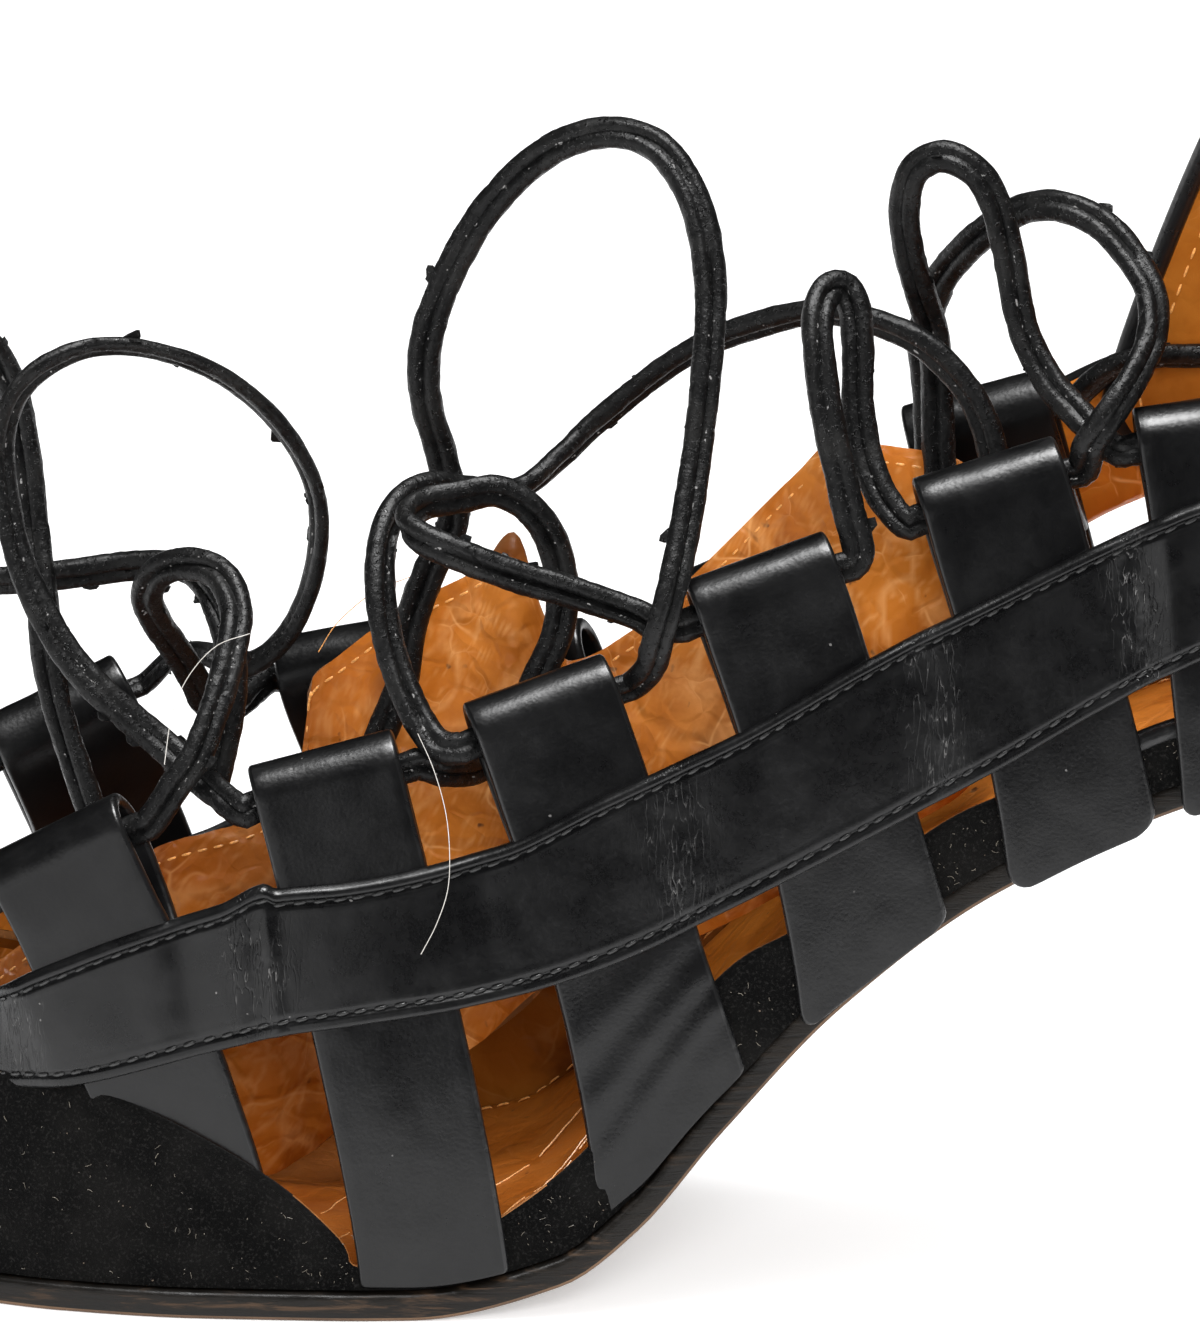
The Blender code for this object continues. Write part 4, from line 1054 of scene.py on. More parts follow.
def lace_frames(route, turns):
    """Tangent, broad direction and thin direction of the strip at each point."""
    frames = []
    broad = None
    for i in range(len(route)):
        tangent = step_over(route, i).normalized()
        flat = Vector((0.0, 1.0, 0.0)).cross(tangent)
        if flat.length > FLAT_SIGHT:
            flat.normalize()
            if broad is not None and flat.dot(broad) < 0:
                flat = -flat
            broad = flat if broad is None else (broad * 0.8 + flat * 0.2)
        if broad is None:
            broad = tangent.orthogonal()
        broad = (broad - tangent * broad.dot(tangent)).normalized()
        t = 2 * i / (len(route) - 1)
        lean = lerp(turns[0], turns[1], t) if t < 1 else lerp(turns[1], turns[2], t - 1)
        lean = math.radians(lean)
        thin = tangent.cross(broad)
        frames.append((tangent, broad * math.cos(lean) + thin * math.sin(lean),
                       thin * math.cos(lean) - broad * math.sin(lean)))
    return frames


def lace_rings(route, frames, seed, flat):
    """The strip's lumpy skin, with a split between its two rolled edges on both faces."""
    points, splits = [], []
    for i, (here, (_, broad, thin)) in enumerate(zip(route, frames)):
        run = i * LACE_FINE
        drift = SPLIT_DRIFT * wander(run * 0.05, seed, 1.0)
        swell = 1 + LACE_SWELL * wander(run * 0.10, seed, 0.0)
        press = flat * (1 + LACE_PRESS * wander(run * 0.07, seed, 5.0))
        for turn in turns_of(LACE_AROUND):
            across, up = math.cos(turn), math.sin(turn)
            cleft = math.exp(-((across - drift) / SPLIT_WIDE) ** 2)
            cleft *= 1.0 if up > 0 else SPLIT_BACK
            cleft *= 0.25 + 0.75 * ramp(wander(run * 0.07, up, seed + 9), -0.25, 0.25)
            lobe = math.sqrt(max(0.0, 1 - ((abs(across - drift * 0.5) - 0.5) / 0.62) ** 2))
            height = press * (0.30 * abs(up) + 0.80 * lobe * abs(up) ** 0.45)
            spot = Vector((run * 0.30, across * 2.0, up * 2.0 + seed))
            lumps = LACE_LUMPS[0] * wander(*spot) + LACE_LUMPS[1] * wander(*(spot * 2.6))
            nick = LACE_NICKS * max(0.0, wander(run * 0.9, across * 1.5, seed + 3) - 0.25)
            grow = LACE_WIDE / 2 * LACE_FULL * swell * (1 + lumps - nick)
            depth = height * (1 - SPLIT_DEEP * cleft) * (1 if up > 0 else -1)
            points.append(here + broad * across * grow + thin * depth * grow)
            splits.append(cleft)
    return points, splits


def add_flakes(points, faces, route, frames, seed):
    """Bits of the leather's skin that have peeled up, mostly along the strip's edges."""
    rng = random.Random(int(seed * 10))
    for _ in range(len(route) // RINGS_PER_FLAKE):
        i = rng.randrange(FLAKE_CLEAR, len(route) - FLAKE_CLEAR)
        tangent, broad, thin = frames[i]
        side = rng.choice((-1, 1))
        turn = rng.gauss(0.0, 0.55)
        out = broad * side * math.cos(turn) + thin * math.sin(turn)
        base = route[i] + out * LACE_WIDE / 2 * lerp(0.92, LACE_FLAT * 0.8, abs(math.sin(turn)))
        size = rng.uniform(*FLAKE_SIZE) * (BIG_FLAKE if rng.random() < BIG_FLAKES else 1.0)
        lean = tangent * rng.uniform(-0.8, 0.8) + out
        flake = []
        for t, half in ((0.0, 1.0), (0.5, rng.uniform(0.6, 1.2)), (1.0, rng.uniform(0.15, 0.6))):
            bend = thin * rng.uniform(-0.4, 0.4) * t * size
            middle = base - out * 0.15 + lean * size * t * 1.2 + bend
            flake += [middle + tangent * half * size * a + thin * FLAKE_THIN * b
                      for a, b in ((-1, -1), (1, -1), (1, 1), (-1, 1))]
        join(points, faces, flake, ring_faces(3, 4))


def make_lace(name, start, passes, end):
    points = [*loop_end(start), *passes, *reversed(loop_end(end))]
    route = smooth_route(points, LACE_FINE)
    frames = lace_frames(route, LACE_TURN[name])
    skin, splits = lace_rings(route, frames, LACE_SEED[name], LACE_THIN.get(name, LACE_FLAT))
    faces = ring_faces(len(route), LACE_AROUND)
    add_flakes(skin, faces, route, frames, LACE_SEED[name])
    made = piece(name + "_cord", skin, faces, [LACE], (name,), sharp=60)
    add_marks(made, skin, splits + [0.0] * (len(skin) - len(splits)))


for lace, (start, passes, end) in LACES.items():
    make_lace(lace, start, passes, end)


# ---------------------------------------------------------------- shell
OVER = 68                 # points over the last from edge to edge
DENSE = 1.5               # spacing of the stations along the shoe
TIP_STEPS = (0.05, 0.2, 0.5, 1.0, 1.7, 2.6, 3.7, 5.0, 6.4, 8.0, 9.6)
QUARTER_FROM = 66.0       # behind this the shell is smooth leather, before it suede
PAINT_FROM = 42.0         # behind this the edge of the opening is painted black
EDGE_BEAD = 1.25          # radius of that painted edge, and of the raw one before it
RIM_BEAD = WALL / 2 - 0.03
BEAD_GROWS = (PAINT_FROM - 4, PAINT_FROM + 2)   # the edge grows thicker between these stations
RIM_FINE = 0.9            # spacing of the rings along it
RIM_STEP = 1.2            # spacing of the points on the rim's flat outline
BACK_FROM = 100.0         # behind this the rim runs round the back
LEAN_ROUNDS = 8           # rounds to find the station that leans to a place of the rim
BACK_DROP = 3.5           # it starts this far below its highest point
BACK_SPAN = (98.0, 26.0)  # place and length of its last rise
BACK_TURNS = (0.12, math.pi / 2, 12)  # first and last turn there, and how many
BACK_CLEAR = 1.0          # its points there start this far past the flat outline's last one
RIM_AROUND = 14
RIM_MIDDLE = 12.0         # the rim faces away from a line this far above the sole
TAN_SIDE = 0.2            # the raw edge is tan where it faces less than this outwards
QUARTER_STITCH = 3.4      # the quarter's stitches lie this far below its edge
QUARTER_STITCH_ENDS = (PAINT_FROM + 4, 108.0)   # they run between these stations
QUARTER_STITCH_STEP = 0.5
LINING_STITCH_OUT = 0.04  # and stand out this far from the lining


def dense_stations(first, last):
    inside = last - first - 2 * TIP_STEPS[-1]
    middle = spread(first + TIP_STEPS[-1], last - TIP_STEPS[-1], round(inside / DENSE))
    return [first + d for d in TIP_STEPS[:-1]] + middle + [last - d for d in TIP_STEPS[-2::-1]]


def last_ends(grow):
    return TOE_X - last_over(TOE_X) - grow, HEEL_X + last_over(HEEL_X) + grow


def last_lean(station):
    return max(0.0, station - BACK_CURVE_FROM) ** 2 / (HEEL_X - BACK_CURVE_FROM) ** 2


def helper(name, points, faces, index):
    """A closed form that only shapes the shell; its cuts show one of the shell's looks."""
    return form(name, points, faces, (SUEDE, WALL_LINING, EDGE), [index] * len(faces))


def ladder_faces(rings, around):
    faces = ring_faces(rings, around, caps=False)
    for first in (0, (rings - 1) * around):
        last = first + around - 1
        faces.append((*range(first, first + 4), *range(last - 3, last + 1)))
        faces += [(first + i, first + i + 1, last - i - 1, last - i)
                  for i in range(3, around // 2 - 1)]
    return faces


def last_form(name, grow, index, drop=0.0):
    """The last, grown outwards; with a drop its slightly narrower foot reaches below the shoe."""
    points = []
    places = dense_stations(*last_ends(grow))
    for station in places:
        half = last_half(station, grow)
        middle = sole_centre(station)
        crown = last_crown(station) + grow
        power = last_square(station)
        section = []
        for i in range(OVER):
            turn = math.pi * i / (OVER - 1)
            across = math.copysign(abs(math.cos(turn)) ** (2 / power), -math.cos(turn))
            y = middle + half * across
            bottom = above_sole(station, y, SOLE_THICK) + GAP
            z = lerp(bottom, crown, math.sin(turn) ** (2 / power))
            lean = last_lean(station) * min(1.0, (z - bottom) / LEAN_FADE)
            section.append((station + back_shift(z) * lean, y, z))
        if drop:
            (x0, y0, z0), (x1, y1, z1) = section[0], section[-1]
            section = [(x0, y0 + WALL / 4, z0 - drop), *section, (x1, y1 - WALL / 4, z1 - drop)]
        else:
            under = [(station, middle + half * t) for t in UNDERSIDE]
            under = [(x, y, above_sole(x, y, SOLE_THICK) + GAP) for x, y in under]
            section = [under[1], under[0], *section, under[3], under[2]]
        points += section
    around = len(points) // len(places)
    return helper(name, points, ladder_faces(len(places), around), index)


def rim_lines(side):
    """The rim's flat outline on one side: cap, low wall and quarter as one smooth line."""
    quarter = OUTER_QUARTER if side == OUTER else INNER_QUARTER
    shift = -BALL_SKEW * 2 * abs(SKEW_SIDE) - RIM_FORWARD if side == INNER else 0.0
    start, end = SKEW_ENDS
    wall = [(x + shift * min(1.0, max(0.0, (end - x) / (end - start))), z) for x, z in WALL_LINE]
    return smooth_line([*CAP_LINE, *wall, *quarter], RIM_STEP)


def open_top(side):
    line = rim_lines(side)
    outline = [*line, (line[-1][0], OPEN_TOP), (line[0][0], OPEN_TOP)]
    points = [(x, y, z) for y in (side * OPEN_SIDE, -side * OPEN_LAP) for x, z in outline]
    return helper(SIDE_NAME[side] + "_opening", points, ring_faces(2, len(outline)), 2)


def make_shell():
    body = last_form("upper_shell", WALL, 0)
    tools = [last_form("inside", 0.0, 1, INSIDE_DROP), open_top(OUTER), open_top(INNER)]
    for tool in tools:
        cut = body.modifiers.new("cut", "BOOLEAN")
        cut.operation = "DIFFERENCE"
        cut.solver = "EXACT"
        cut.object = tool
    bpy.context.view_layer.update()
    seen = body.evaluated_get(bpy.context.evaluated_depsgraph_get())
    mesh = bpy.data.meshes.new_from_object(seen)
    body.modifiers.clear()
    body.data = mesh
    for tool in tools:
        bpy.data.objects.remove(tool)
    limit = world((QUARTER_FROM, 0, 0)).x
    picks = [3 if face.material_index == 0 and face.center.x > limit else face.material_index
             for face in mesh.polygons]
    mesh.materials.clear()
    for look in (SUEDE, WALL_LINING, EDGE, STRAP):
        mesh.materials.append(look)
    mesh.polygons.foreach_set("material_index", picks)
    dress(body, ("upper",), 32)


def wall_point(station, z, side, out):
    """A point of the wall at one station and height, out millimetres outside the last."""
    half = last_half(station, out)
    middle = sole_centre(station)
    foot = above_sole(station, middle + side * half, SOLE_THICK) + GAP
    level = min(1.0, max(0.0, (z - foot) / (last_crown(station) + out - foot)))
    power = last_square(station)
    y = middle + side * half * (1 - level ** power) ** (1 / power)
    lean = last_lean(station) * min(1.0, max(0.0, (z - foot) / LEAN_FADE))
    return Vector((station + back_shift(z) * lean, y, z))


def rim_side(side, out):
    """The rim of one side in space, from the middle of the cap to the middle of the back."""
    line = rim_lines(side)
    points = []
    for x, z in line:
        if x > BACK_FROM:
            break
        station = x
        for _ in range(LEAN_ROUNDS):
            station = x - back_shift(z) * last_lean(station)
        if z >= last_crown(station) + out:
            points = [Vector((x, sole_centre(station), last_crown(station) + out))]
        else:
            points.append(wall_point(station, z, side, out))
    top = line[-1][1]
    reached = points[-1].x
    for turn in spread(*BACK_TURNS):
        x = lerp(station, last_ends(out)[1], math.sin(turn))
        z = lerp(top - BACK_DROP, top, (x - BACK_SPAN[0]) / BACK_SPAN[1])
        spot = wall_point(x, z, side, out)
        if spot.x > reached + BACK_CLEAR or turn == BACK_TURNS[1]:
            points.append(spot)
    return points


def make_rim():
    """Edge along the whole opening: raw with a tan inner half in front, painted behind."""
    near, far = rim_side(OUTER, WALL / 2), rim_side(INNER, WALL / 2)
    route = smooth_route([*near, *reversed(far[1:-1]), near[0]], RIM_FINE)

    def radius(i):
        return lerp(RIM_BEAD, EDGE_BEAD, ramp(route[i].x, *BEAD_GROWS))

    points, faces = tube(route, radius, RIM_AROUND)
    picks = []
    for face in faces:
        here = route[min(face) // RIM_AROUND]
        middle = Vector((here.x, sole_centre(here.x), sole_rise(here.x) + RIM_MIDDLE))
        out = (here - middle).normalized()
        centre = sum((points[i] for i in face), Vector()) / len(face)
        off = (centre - here).dot(out) if len(face) == 4 else 0.0
        picks.append(0 if here.x > PAINT_FROM else 1 if off < TAN_SIDE else 2)
    piece("rim_edge", points, faces, [EDGE, TAN_EDGE, SUEDE], ("upper",), picks)


def stitch_quarter(side):
    """A row of stitches on the lining, below the edge of one quarter."""
    first, last = QUARTER_STITCH_ENDS
    rim = [p for p in smooth_route(rim_side(side, 0.0), QUARTER_STITCH_STEP)
           if first < p.x < last]
    line = []
    for before, after in zip(rim, rim[1:]):
        way = after - before
        drop = Vector((way.z, 0.0, -way.x)).normalized() * QUARTER_STITCH
        line.append(wall_point(before.x + drop.x, before.z + drop.z, side, -LINING_STITCH_OUT))
    stitch_row("quarter_stitches_" + str(side), "quarter", line, Vector((0.0, -side, 0.0)))


make_shell()
make_rim()


# ---------------------------------------------------------------- straps
STRAP_ROUND = 0.55        # rounding of a strap's long edges
STRAP_FLAT = 15           # points across each face of a strap
STRAP_EDGE = 7            # and round each of its edges
# Soft slanting wrinkles across the third outer strap: height, slope, width and depth
WRINKLES = ((9.0, 0.55, 1.5, 0.30), (14.5, 0.5, 1.8, 0.34), (20.5, 0.45, 2.0, 0.28))
# Radius of the corners of its foot
FOOT_CORNER = {"a": 0.4, "b": 0.6, "c": 0.8, "d": 2.4, "e": 3.2, "f": 2.0}
FOOT_STEPS = (0.0, 0.15, 0.4, 0.8, 1.3, 2.0, 3.0, 4.2)
RISE_FROM, RISE_STOP = 5.6, 1.0   # its straight part: above its foot, and below its fold
RISE_STEPS = 34
ROUNDED_STEPS = 20        # only these steps from the foot have rounded corners
END_THIN = 0.55           # both ends of the strap are this much of its thickness
EDGE_WAVER = 0.10         # how far its long edges waver, and how deep its face is dented
BROAD_DENT = 0.20
FINE_DENT = 0.05
FOLD_STEPS = 22           # steps round the fold at its top
END_STEPS = 14            # and down its folded end


def strap_section(half):
    """Closed outline of a strap cut across: place along its width and depth."""
    edge = LOOP_WALL / 2
    flat = spread(-half + STRAP_ROUND, half - STRAP_ROUND, STRAP_FLAT)
    turns = [math.pi / 2 * (1 - 2 * k / (STRAP_EDGE + 1)) for k in range(1, STRAP_EDGE + 1)]
    right = [(half - STRAP_ROUND + STRAP_ROUND * math.cos(t), edge * math.sin(t)) for t in turns]
    return ([(w, edge) for w in flat] + right + [(w, -edge) for w in reversed(flat)]
            + [(-w, -h) for w, h in right])


def strap_sweep(length):
    """The line that a strap follows: outwards distance and height up."""
    reach = LOOP_RADIUS - LOOP_WALL / 2
    front = STRAP_OUT - LOOP_WALL / 2
    fold_x, fold_z = STRAP_OUT - LOOP_RADIUS, length - LOOP_RADIUS
    rise = spread(RISE_FROM, fold_z - RISE_STOP, RISE_STEPS)
    line = [(front, up) for up in (*FOOT_STEPS, *rise)]
    for i in range(FOLD_STEPS + 1):
        turn = math.pi * i / FOLD_STEPS
        line.append((fold_x + reach * math.cos(turn), fold_z + reach * math.sin(turn)))
    return line + [(lerp(fold_x - reach, front - LOOP_WALL, (k / END_STEPS) ** 1.5),
                    lerp(fold_z, length - LOOP_DROP, k / END_STEPS))
                   for k in range(1, END_STEPS + 1)]


def make_strap(row, side, heading):
    letter, low = row[0], row[2]
    point = strap_path(row, side)
    length = (point(1.0) - point(0.0)).length
    line = strap_sweep(length)
    seed = ord(letter) * 3.1 + side * 7.7
    corner = FOOT_CORNER[letter]
    points = []
    for i, (out, up) in enumerate(line):
        before, after = line[max(0, i - 1)], line[min(len(line) - 1, i + 1)]
        d_out, d_up = after[0] - before[0], after[1] - before[1]
        size = math.hypot(d_out, d_up)
        n_out, n_up = d_up / size, -d_out / size
        rest = max(0.0, corner - up) if i < ROUNDED_STEPS else 0.0
        half = STRAP_WIDTH / 2 - corner + math.sqrt(max(0.0, corner ** 2 - rest ** 2))
        half += EDGE_WAVER * wander(up * 0.12, seed, 0.0)
        thin = 1.0 if 0 < i < len(line) - 1 else END_THIN
        for w, h in strap_section(half):
            dent = BROAD_DENT * wander(w * 0.09, up * 0.07, seed)
            dent += FINE_DENT * wander(w * 0.3, up * 0.22, seed + 5)
            if letter == "c" and side == OUTER and out > STRAP_OUT - LOOP_WALL and h > 0:
                dent += sum(deep * math.exp(-((up - place - slope * w) / wide) ** 2)
                            for place, slope, wide, deep in WRINKLES)
            o = out + n_out * (h * thin + dent)
            t = (up + n_up * (h * thin + dent)) / length
            here, along, away = strap_frame(row, side, heading, t)
            spot = here + away * o + along * w
            foot = point(0.0) + away * o + along * w
            slip = above_sole(foot.x, foot.y, SOLE_THICK) + GAP + low - foot.z
            spot.z += slip * max(0.0, 1 - t * STRAP_FOOT) ** 2
            points.append(spot)
    around = len(points) // len(line)
    faces = ring_faces(len(line), around)
    picks = []
    for face in faces:
        place = min(i % around for i in face) + 1
        edge = (STRAP_FLAT <= place <= STRAP_FLAT + STRAP_EDGE
                or place >= 2 * STRAP_FLAT + STRAP_EDGE)
        picks.append(1 if edge or len(face) > 4 else 0)
    piece(SIDE_NAME[side] + "_strap_" + letter, points, faces, [STRAP, EDGE],
          ("upper",), picks, sharp=70)


# ---------------------------------------------------------------- bands
BAND_STEP = 0.55          # spacing of the sections along a band
BAND_THICK = BAND_OUT - BAND_IN
BAND_LIP = 0.63           # height of the rounded low edge
BAND_BEAD = 0.85          # radius of the bead along the high edge
BAND_CROWN = 0.10         # its outer face bulges by this much between its stitches
BAND_FRONT = 24           # points on its outer face between the grooves, and on its inner face
BAND_BACK = 8
GROOVE_END = 1.3          # the grooves end this far from the rows of stitches
STITCH_INSET = 1.75       # rows of stitches lie this far inside both edges of a band
STITCH_SUNK = 0.17        # the stitches lie this deep in the band's face
# The grooves that hold the stitches: height from the row and depth from the face
LOW_GROOVE = ((-0.62, 0.06), (-0.38, -0.05), (-0.18, -0.24), (0.0, -0.30), (0.18, -0.24),
              (0.4, -0.04), (0.75, 0.08))
HIGH_GROOVE = ((-0.75, 0.08), (-0.4, -0.04), (-0.18, -0.24), (0.0, -0.30), (0.18, -0.22),
               (0.42, 0.02))
# Where the leather creases as the foot bends: place along the shoe, width and strength; the
# strength also sets the painted glints and sheen there
CREASES = ((-75, 3.0, 0.6), (-46.6, 2.9, 0.9), (1.5, 3.4, 0.6), (31.0, 3.0, 0.85),
           (54.6, 2.2, 1.3))
# Soft troughs (-) and ridges (+) across the band: place, width and depth
FOLDS = ((-75, 3.4, -0.6), (-54.6, 3.0, -0.5), (-49.8, 2.2, 0.25), (-45.4, 0.9, 0.28),
         (-21, 3.0, -0.35), (3.5, 3.0, -0.35), (30.0, 2.4, -0.4), (55.0, 2.6, -0.5),
         (58.5, 1.6, 0.3))
EDGE_KINK = (-45.4, 0.9)  # the upper edge rises to here and steps down by this much


def bells(x, rows):
    return sum(high * math.exp(-((x - place) / wide) ** 2) for place, wide, high in rows)


def crease_at(x, share):
    """How strongly the band is creased, and how deep its surface lies there."""
    lean = 3.0 * (0.5 - share)
    mask = bells(x - lean, CREASES) * (0.6 + 0.6 * wander(x * 0.25, share * 3.0, 4.0))
    fine = wander(x * 0.95 + share * 2.0, share * 2.2, 1.0)
    broad = wander(x * 0.36 + share * 1.0, share * 1.1, 2.0)
    return max(0.0, mask), bells(x - lean * 0.6, FOLDS) + mask * (0.12 * fine + 0.28 * broad)


def edge_kink(x):
    """Extra height of the upper edge before the fold at the second strap."""
    place, high = EDGE_KINK
    return high * ramp(x, place - 6.0, place - 0.8) * (1 - ramp(x, place - 0.8, place + 0.7))


def band_profile(tall):
    """Outline of a band cut across, from its low edge up: height and depth, outer face first."""
    face, inset = BAND_THICK, STITCH_INSET
    line = []
    for k in range(8):
        turn = math.pi / 2 * (k / 7 - 1)
        line.append((BAND_LIP * (1 + math.sin(turn)),
                     face / 2 + (face / 2 + 0.04) * math.cos(turn)))
    line += [(inset + z, face + depth) for z, depth in LOW_GROOVE]
    line += [(z, face + BAND_CROWN * math.sin(math.pi * (z - inset) / (tall - 2 * inset)))
             for z in spread(inset + GROOVE_END, tall - inset - GROOVE_END, BAND_FRONT)]
    line += [(tall - inset + z, face + depth) for z, depth in HIGH_GROOVE]
    for k in range(10):
        turn = math.pi * (k / 12 - 0.25) + 0.25
        line.append((tall - BAND_BEAD + BAND_BEAD * math.sin(turn),
                     face / 2 + (face / 2 + 0.45) * math.cos(turn)))
    return line + [(z, 0.0) for z in spread(tall - 0.8, 0.8, BAND_BACK)]


def band_tables(side, straps):
    """Functions for the place of a band's inner face and for its height."""
    low, high, inner = column(BAND, "low"), column(BAND, "high"), column(BAND, "inner")
    shares = spread(0.0, 1.0, 9)

    def level(x, share):
        return lerp(low(x), high(x), share) + (inner(x) if side == INNER else 0.0)

    def tucked(x, share):
        return x, last_side(x, level(x, share), side, -BAND_TUCK)

    tables = []
    for share in shares:
        table = [("x", "y"), tucked(BAND[1][0], share)]
        for strap in straps[1:]:
            here = strap_side(strap, side, level((strap[1] + strap[4]) / 2, share))
            if strap is straps[1]:
                front = here.y + side * (BAND_IN - TOE_TAPER * BAND_LAP)
                table.append((here.x - BAND_LAP, front))
            table.append((here.x, here.y + side * BAND_IN))
        table += [tucked(x, share) for x in (BAND[-1][0] - BAND_END, BAND[-1][0])]
        tables.append(column(table, "y"))

    def place(x, share):
        """Height and sideways place of the band's inner face."""
        spot = min(max(share, 0.0), 1.0) * (len(shares) - 1)
        k = min(int(spot), len(shares) - 2)
        kink = edge_kink(x) if side == OUTER else 0.0
        return (level(x, share) + kink * ramp(share, 0.5, 1.0),
                lerp(tables[k](x), tables[k + 1](x), spot - k))

    return place, lambda x: high(x) - low(x)


def make_band(side, straps):
    place, tall = band_tables(side, straps)
    name = SIDE_NAME[side] + "_band"
    first, last = BAND[1][0], BAND[-1][0]
    places = spread(first, last, round((last - first) / BAND_STEP))
    points, marks = [], []
    for x in places:
        height = tall(x)
        for z, depth in band_profile(height):
            share = z / height
            mark, dent = crease_at(x, share)
            spot_z, y = place(x, share)
            near_edge = ramp(min(z, height - z), 0.6, 3.2)
            wave = 0.10 * wander(x * 0.10, share, side * 3.0)
            out = depth + dent * lerp(0.75, 1.0, near_edge) + wave
            points.append((x, y + side * out, spot_z))
            marks.append(mark * (0.5 + 0.5 * near_edge) if depth > 0.3 else 0.0)
    around = len(points) // len(places)
    faces = ring_faces(len(places), around)
    picks = []
    for face in faces:
        low, high = min(i % around for i in face), max(i % around for i in face)
        inner = low >= around - BAND_BACK or (low == 0 and high == around - 1)
        picks.append(2 if inner and len(face) == 4 else 1 if low < 5 or len(face) > 4 else 0)
    made = piece(name, points, faces, [BAND_LEATHER, EDGE, BAND_LINING], ("upper",),
                 picks, sharp=60)
    add_marks(made, points, marks)
    for row, at in (("low", lambda x: STITCH_INSET), ("high", lambda x: tall(x) - STITCH_INSET)):
        line = []
        for x in spread(first + 1.0, last - 1.0, ROW_POINTS):
            share = at(x) / tall(x)
            z, y = place(x, share)
            dent = crease_at(x, share)[1] * 0.75
            line.append(Vector((x, y + side * (BAND_THICK - STITCH_SUNK + dent), z)))
        stitch_row(name + "_stitches_" + row, "band", line, Vector((0.0, side, 0.0)))


stitch_quarter(INNER)
for side, rows in ((OUTER, OUTER_STRAPS), (INNER, INNER_STRAPS)):
    for row, heading in zip(rows[1:], cage_headings(side, rows)):
        make_strap(row, side, heading)
    make_band(side, rows)


# ---------------------------------------------------------------- tongue
TONGUE_COLUMNS = {name: column(TONGUE, name) for name in ("low_y", "low_z", "high_y", "high_z")}
TONGUE_LONG, TONGUE_TALL = 230, 84      # points along it and from its lower to its upper edge
TONGUE_THIN = (0.55, 0.85, 1.0)         # share of its thickness at its edges and inside
TIP_FROM, TIP_TO = -20.5, -13.5         # the shaded tip behind the crossing laces
TIP_HEIGHT = (75.5, 79.5)               # its shade sets in over this height
TIP_SHADE = 0.85                        # and is this dark
# Size and seed, then height, of its soft folds
TONGUE_FOLDS = (((17.0, 2.0, 0.0, 9.0), 1.7), ((8.0, 7.0, 3.0, 1.0), 0.6))
BIG_CELLS = (12.0, 2.0)                 # size and seed of its large and small crumples
SMALL_CELLS = (4.5, 6.0)
BIG_CREST = (0.70, 0.98)                # their crests take a painted highlight over these heights
SMALL_CREST = (0.75, 0.98)
SMALL_PALE = 0.8                        # the small crests are this pale: this strong a painted highlight
TONGUE_STITCH = 1.7                     # its stitches lie this far below its upper edge
STITCH_OUT = 0.03                       # and stand out this far from its face


def cell_fold(spot, size, seed):
    """Height of crumpled leather: flat cells with raised or sunken lines between them."""
    warp = Vector((noise.noise(spot / size + Vector((seed, 0, 0))), 0.0,
                   noise.noise(spot / size + Vector((0, seed, 0))))) * 0.9
    near = noise.voronoi(spot / size + warp + Vector((seed, seed, 0.0)))[0]
    return max(0.0, 1 - (near[1] - near[0]) * 3.2)


def tongue_point(x, t):
    """Middle of the tongue's thickness: x along the shoe, t from its lower to its upper edge."""
    def wide(size, *offset):
        return noise.noise(spot / size + Vector(offset))

    low_y, low_z, high_y, high_z = (curve(x) for curve in TONGUE_COLUMNS.values())
    y, z = lerp(low_y, high_y, t), lerp(low_z, high_z, t)
    bow = math.sin(math.pi * t)
    spot = Vector((x, 0.0, z))
    fold = sum(wide(*row) * high for row, high in TONGUE_FOLDS)
    fold += 0.55 * (wide(12.0, 4.0, 4.0, 4.0) * 1.3) * cell_fold(spot, *BIG_CELLS)
    fold += 0.26 * ramp(wide(14.0, 1.0, 8.0, 3.0), 0.0, 0.4) * cell_fold(spot, *SMALL_CELLS)
    wave = TONGUE_WAVE * math.sin(x * TONGUE_WAVE_ALONG + TONGUE_WAVE_ACROSS * t) * bow
    calm = 0.45 + 0.55 * math.sin(math.pi * min(1.0, 0.1 + 0.8 * t))
    return Vector((x, y - TONGUE_BELLY * bow + wave + fold * calm, z))


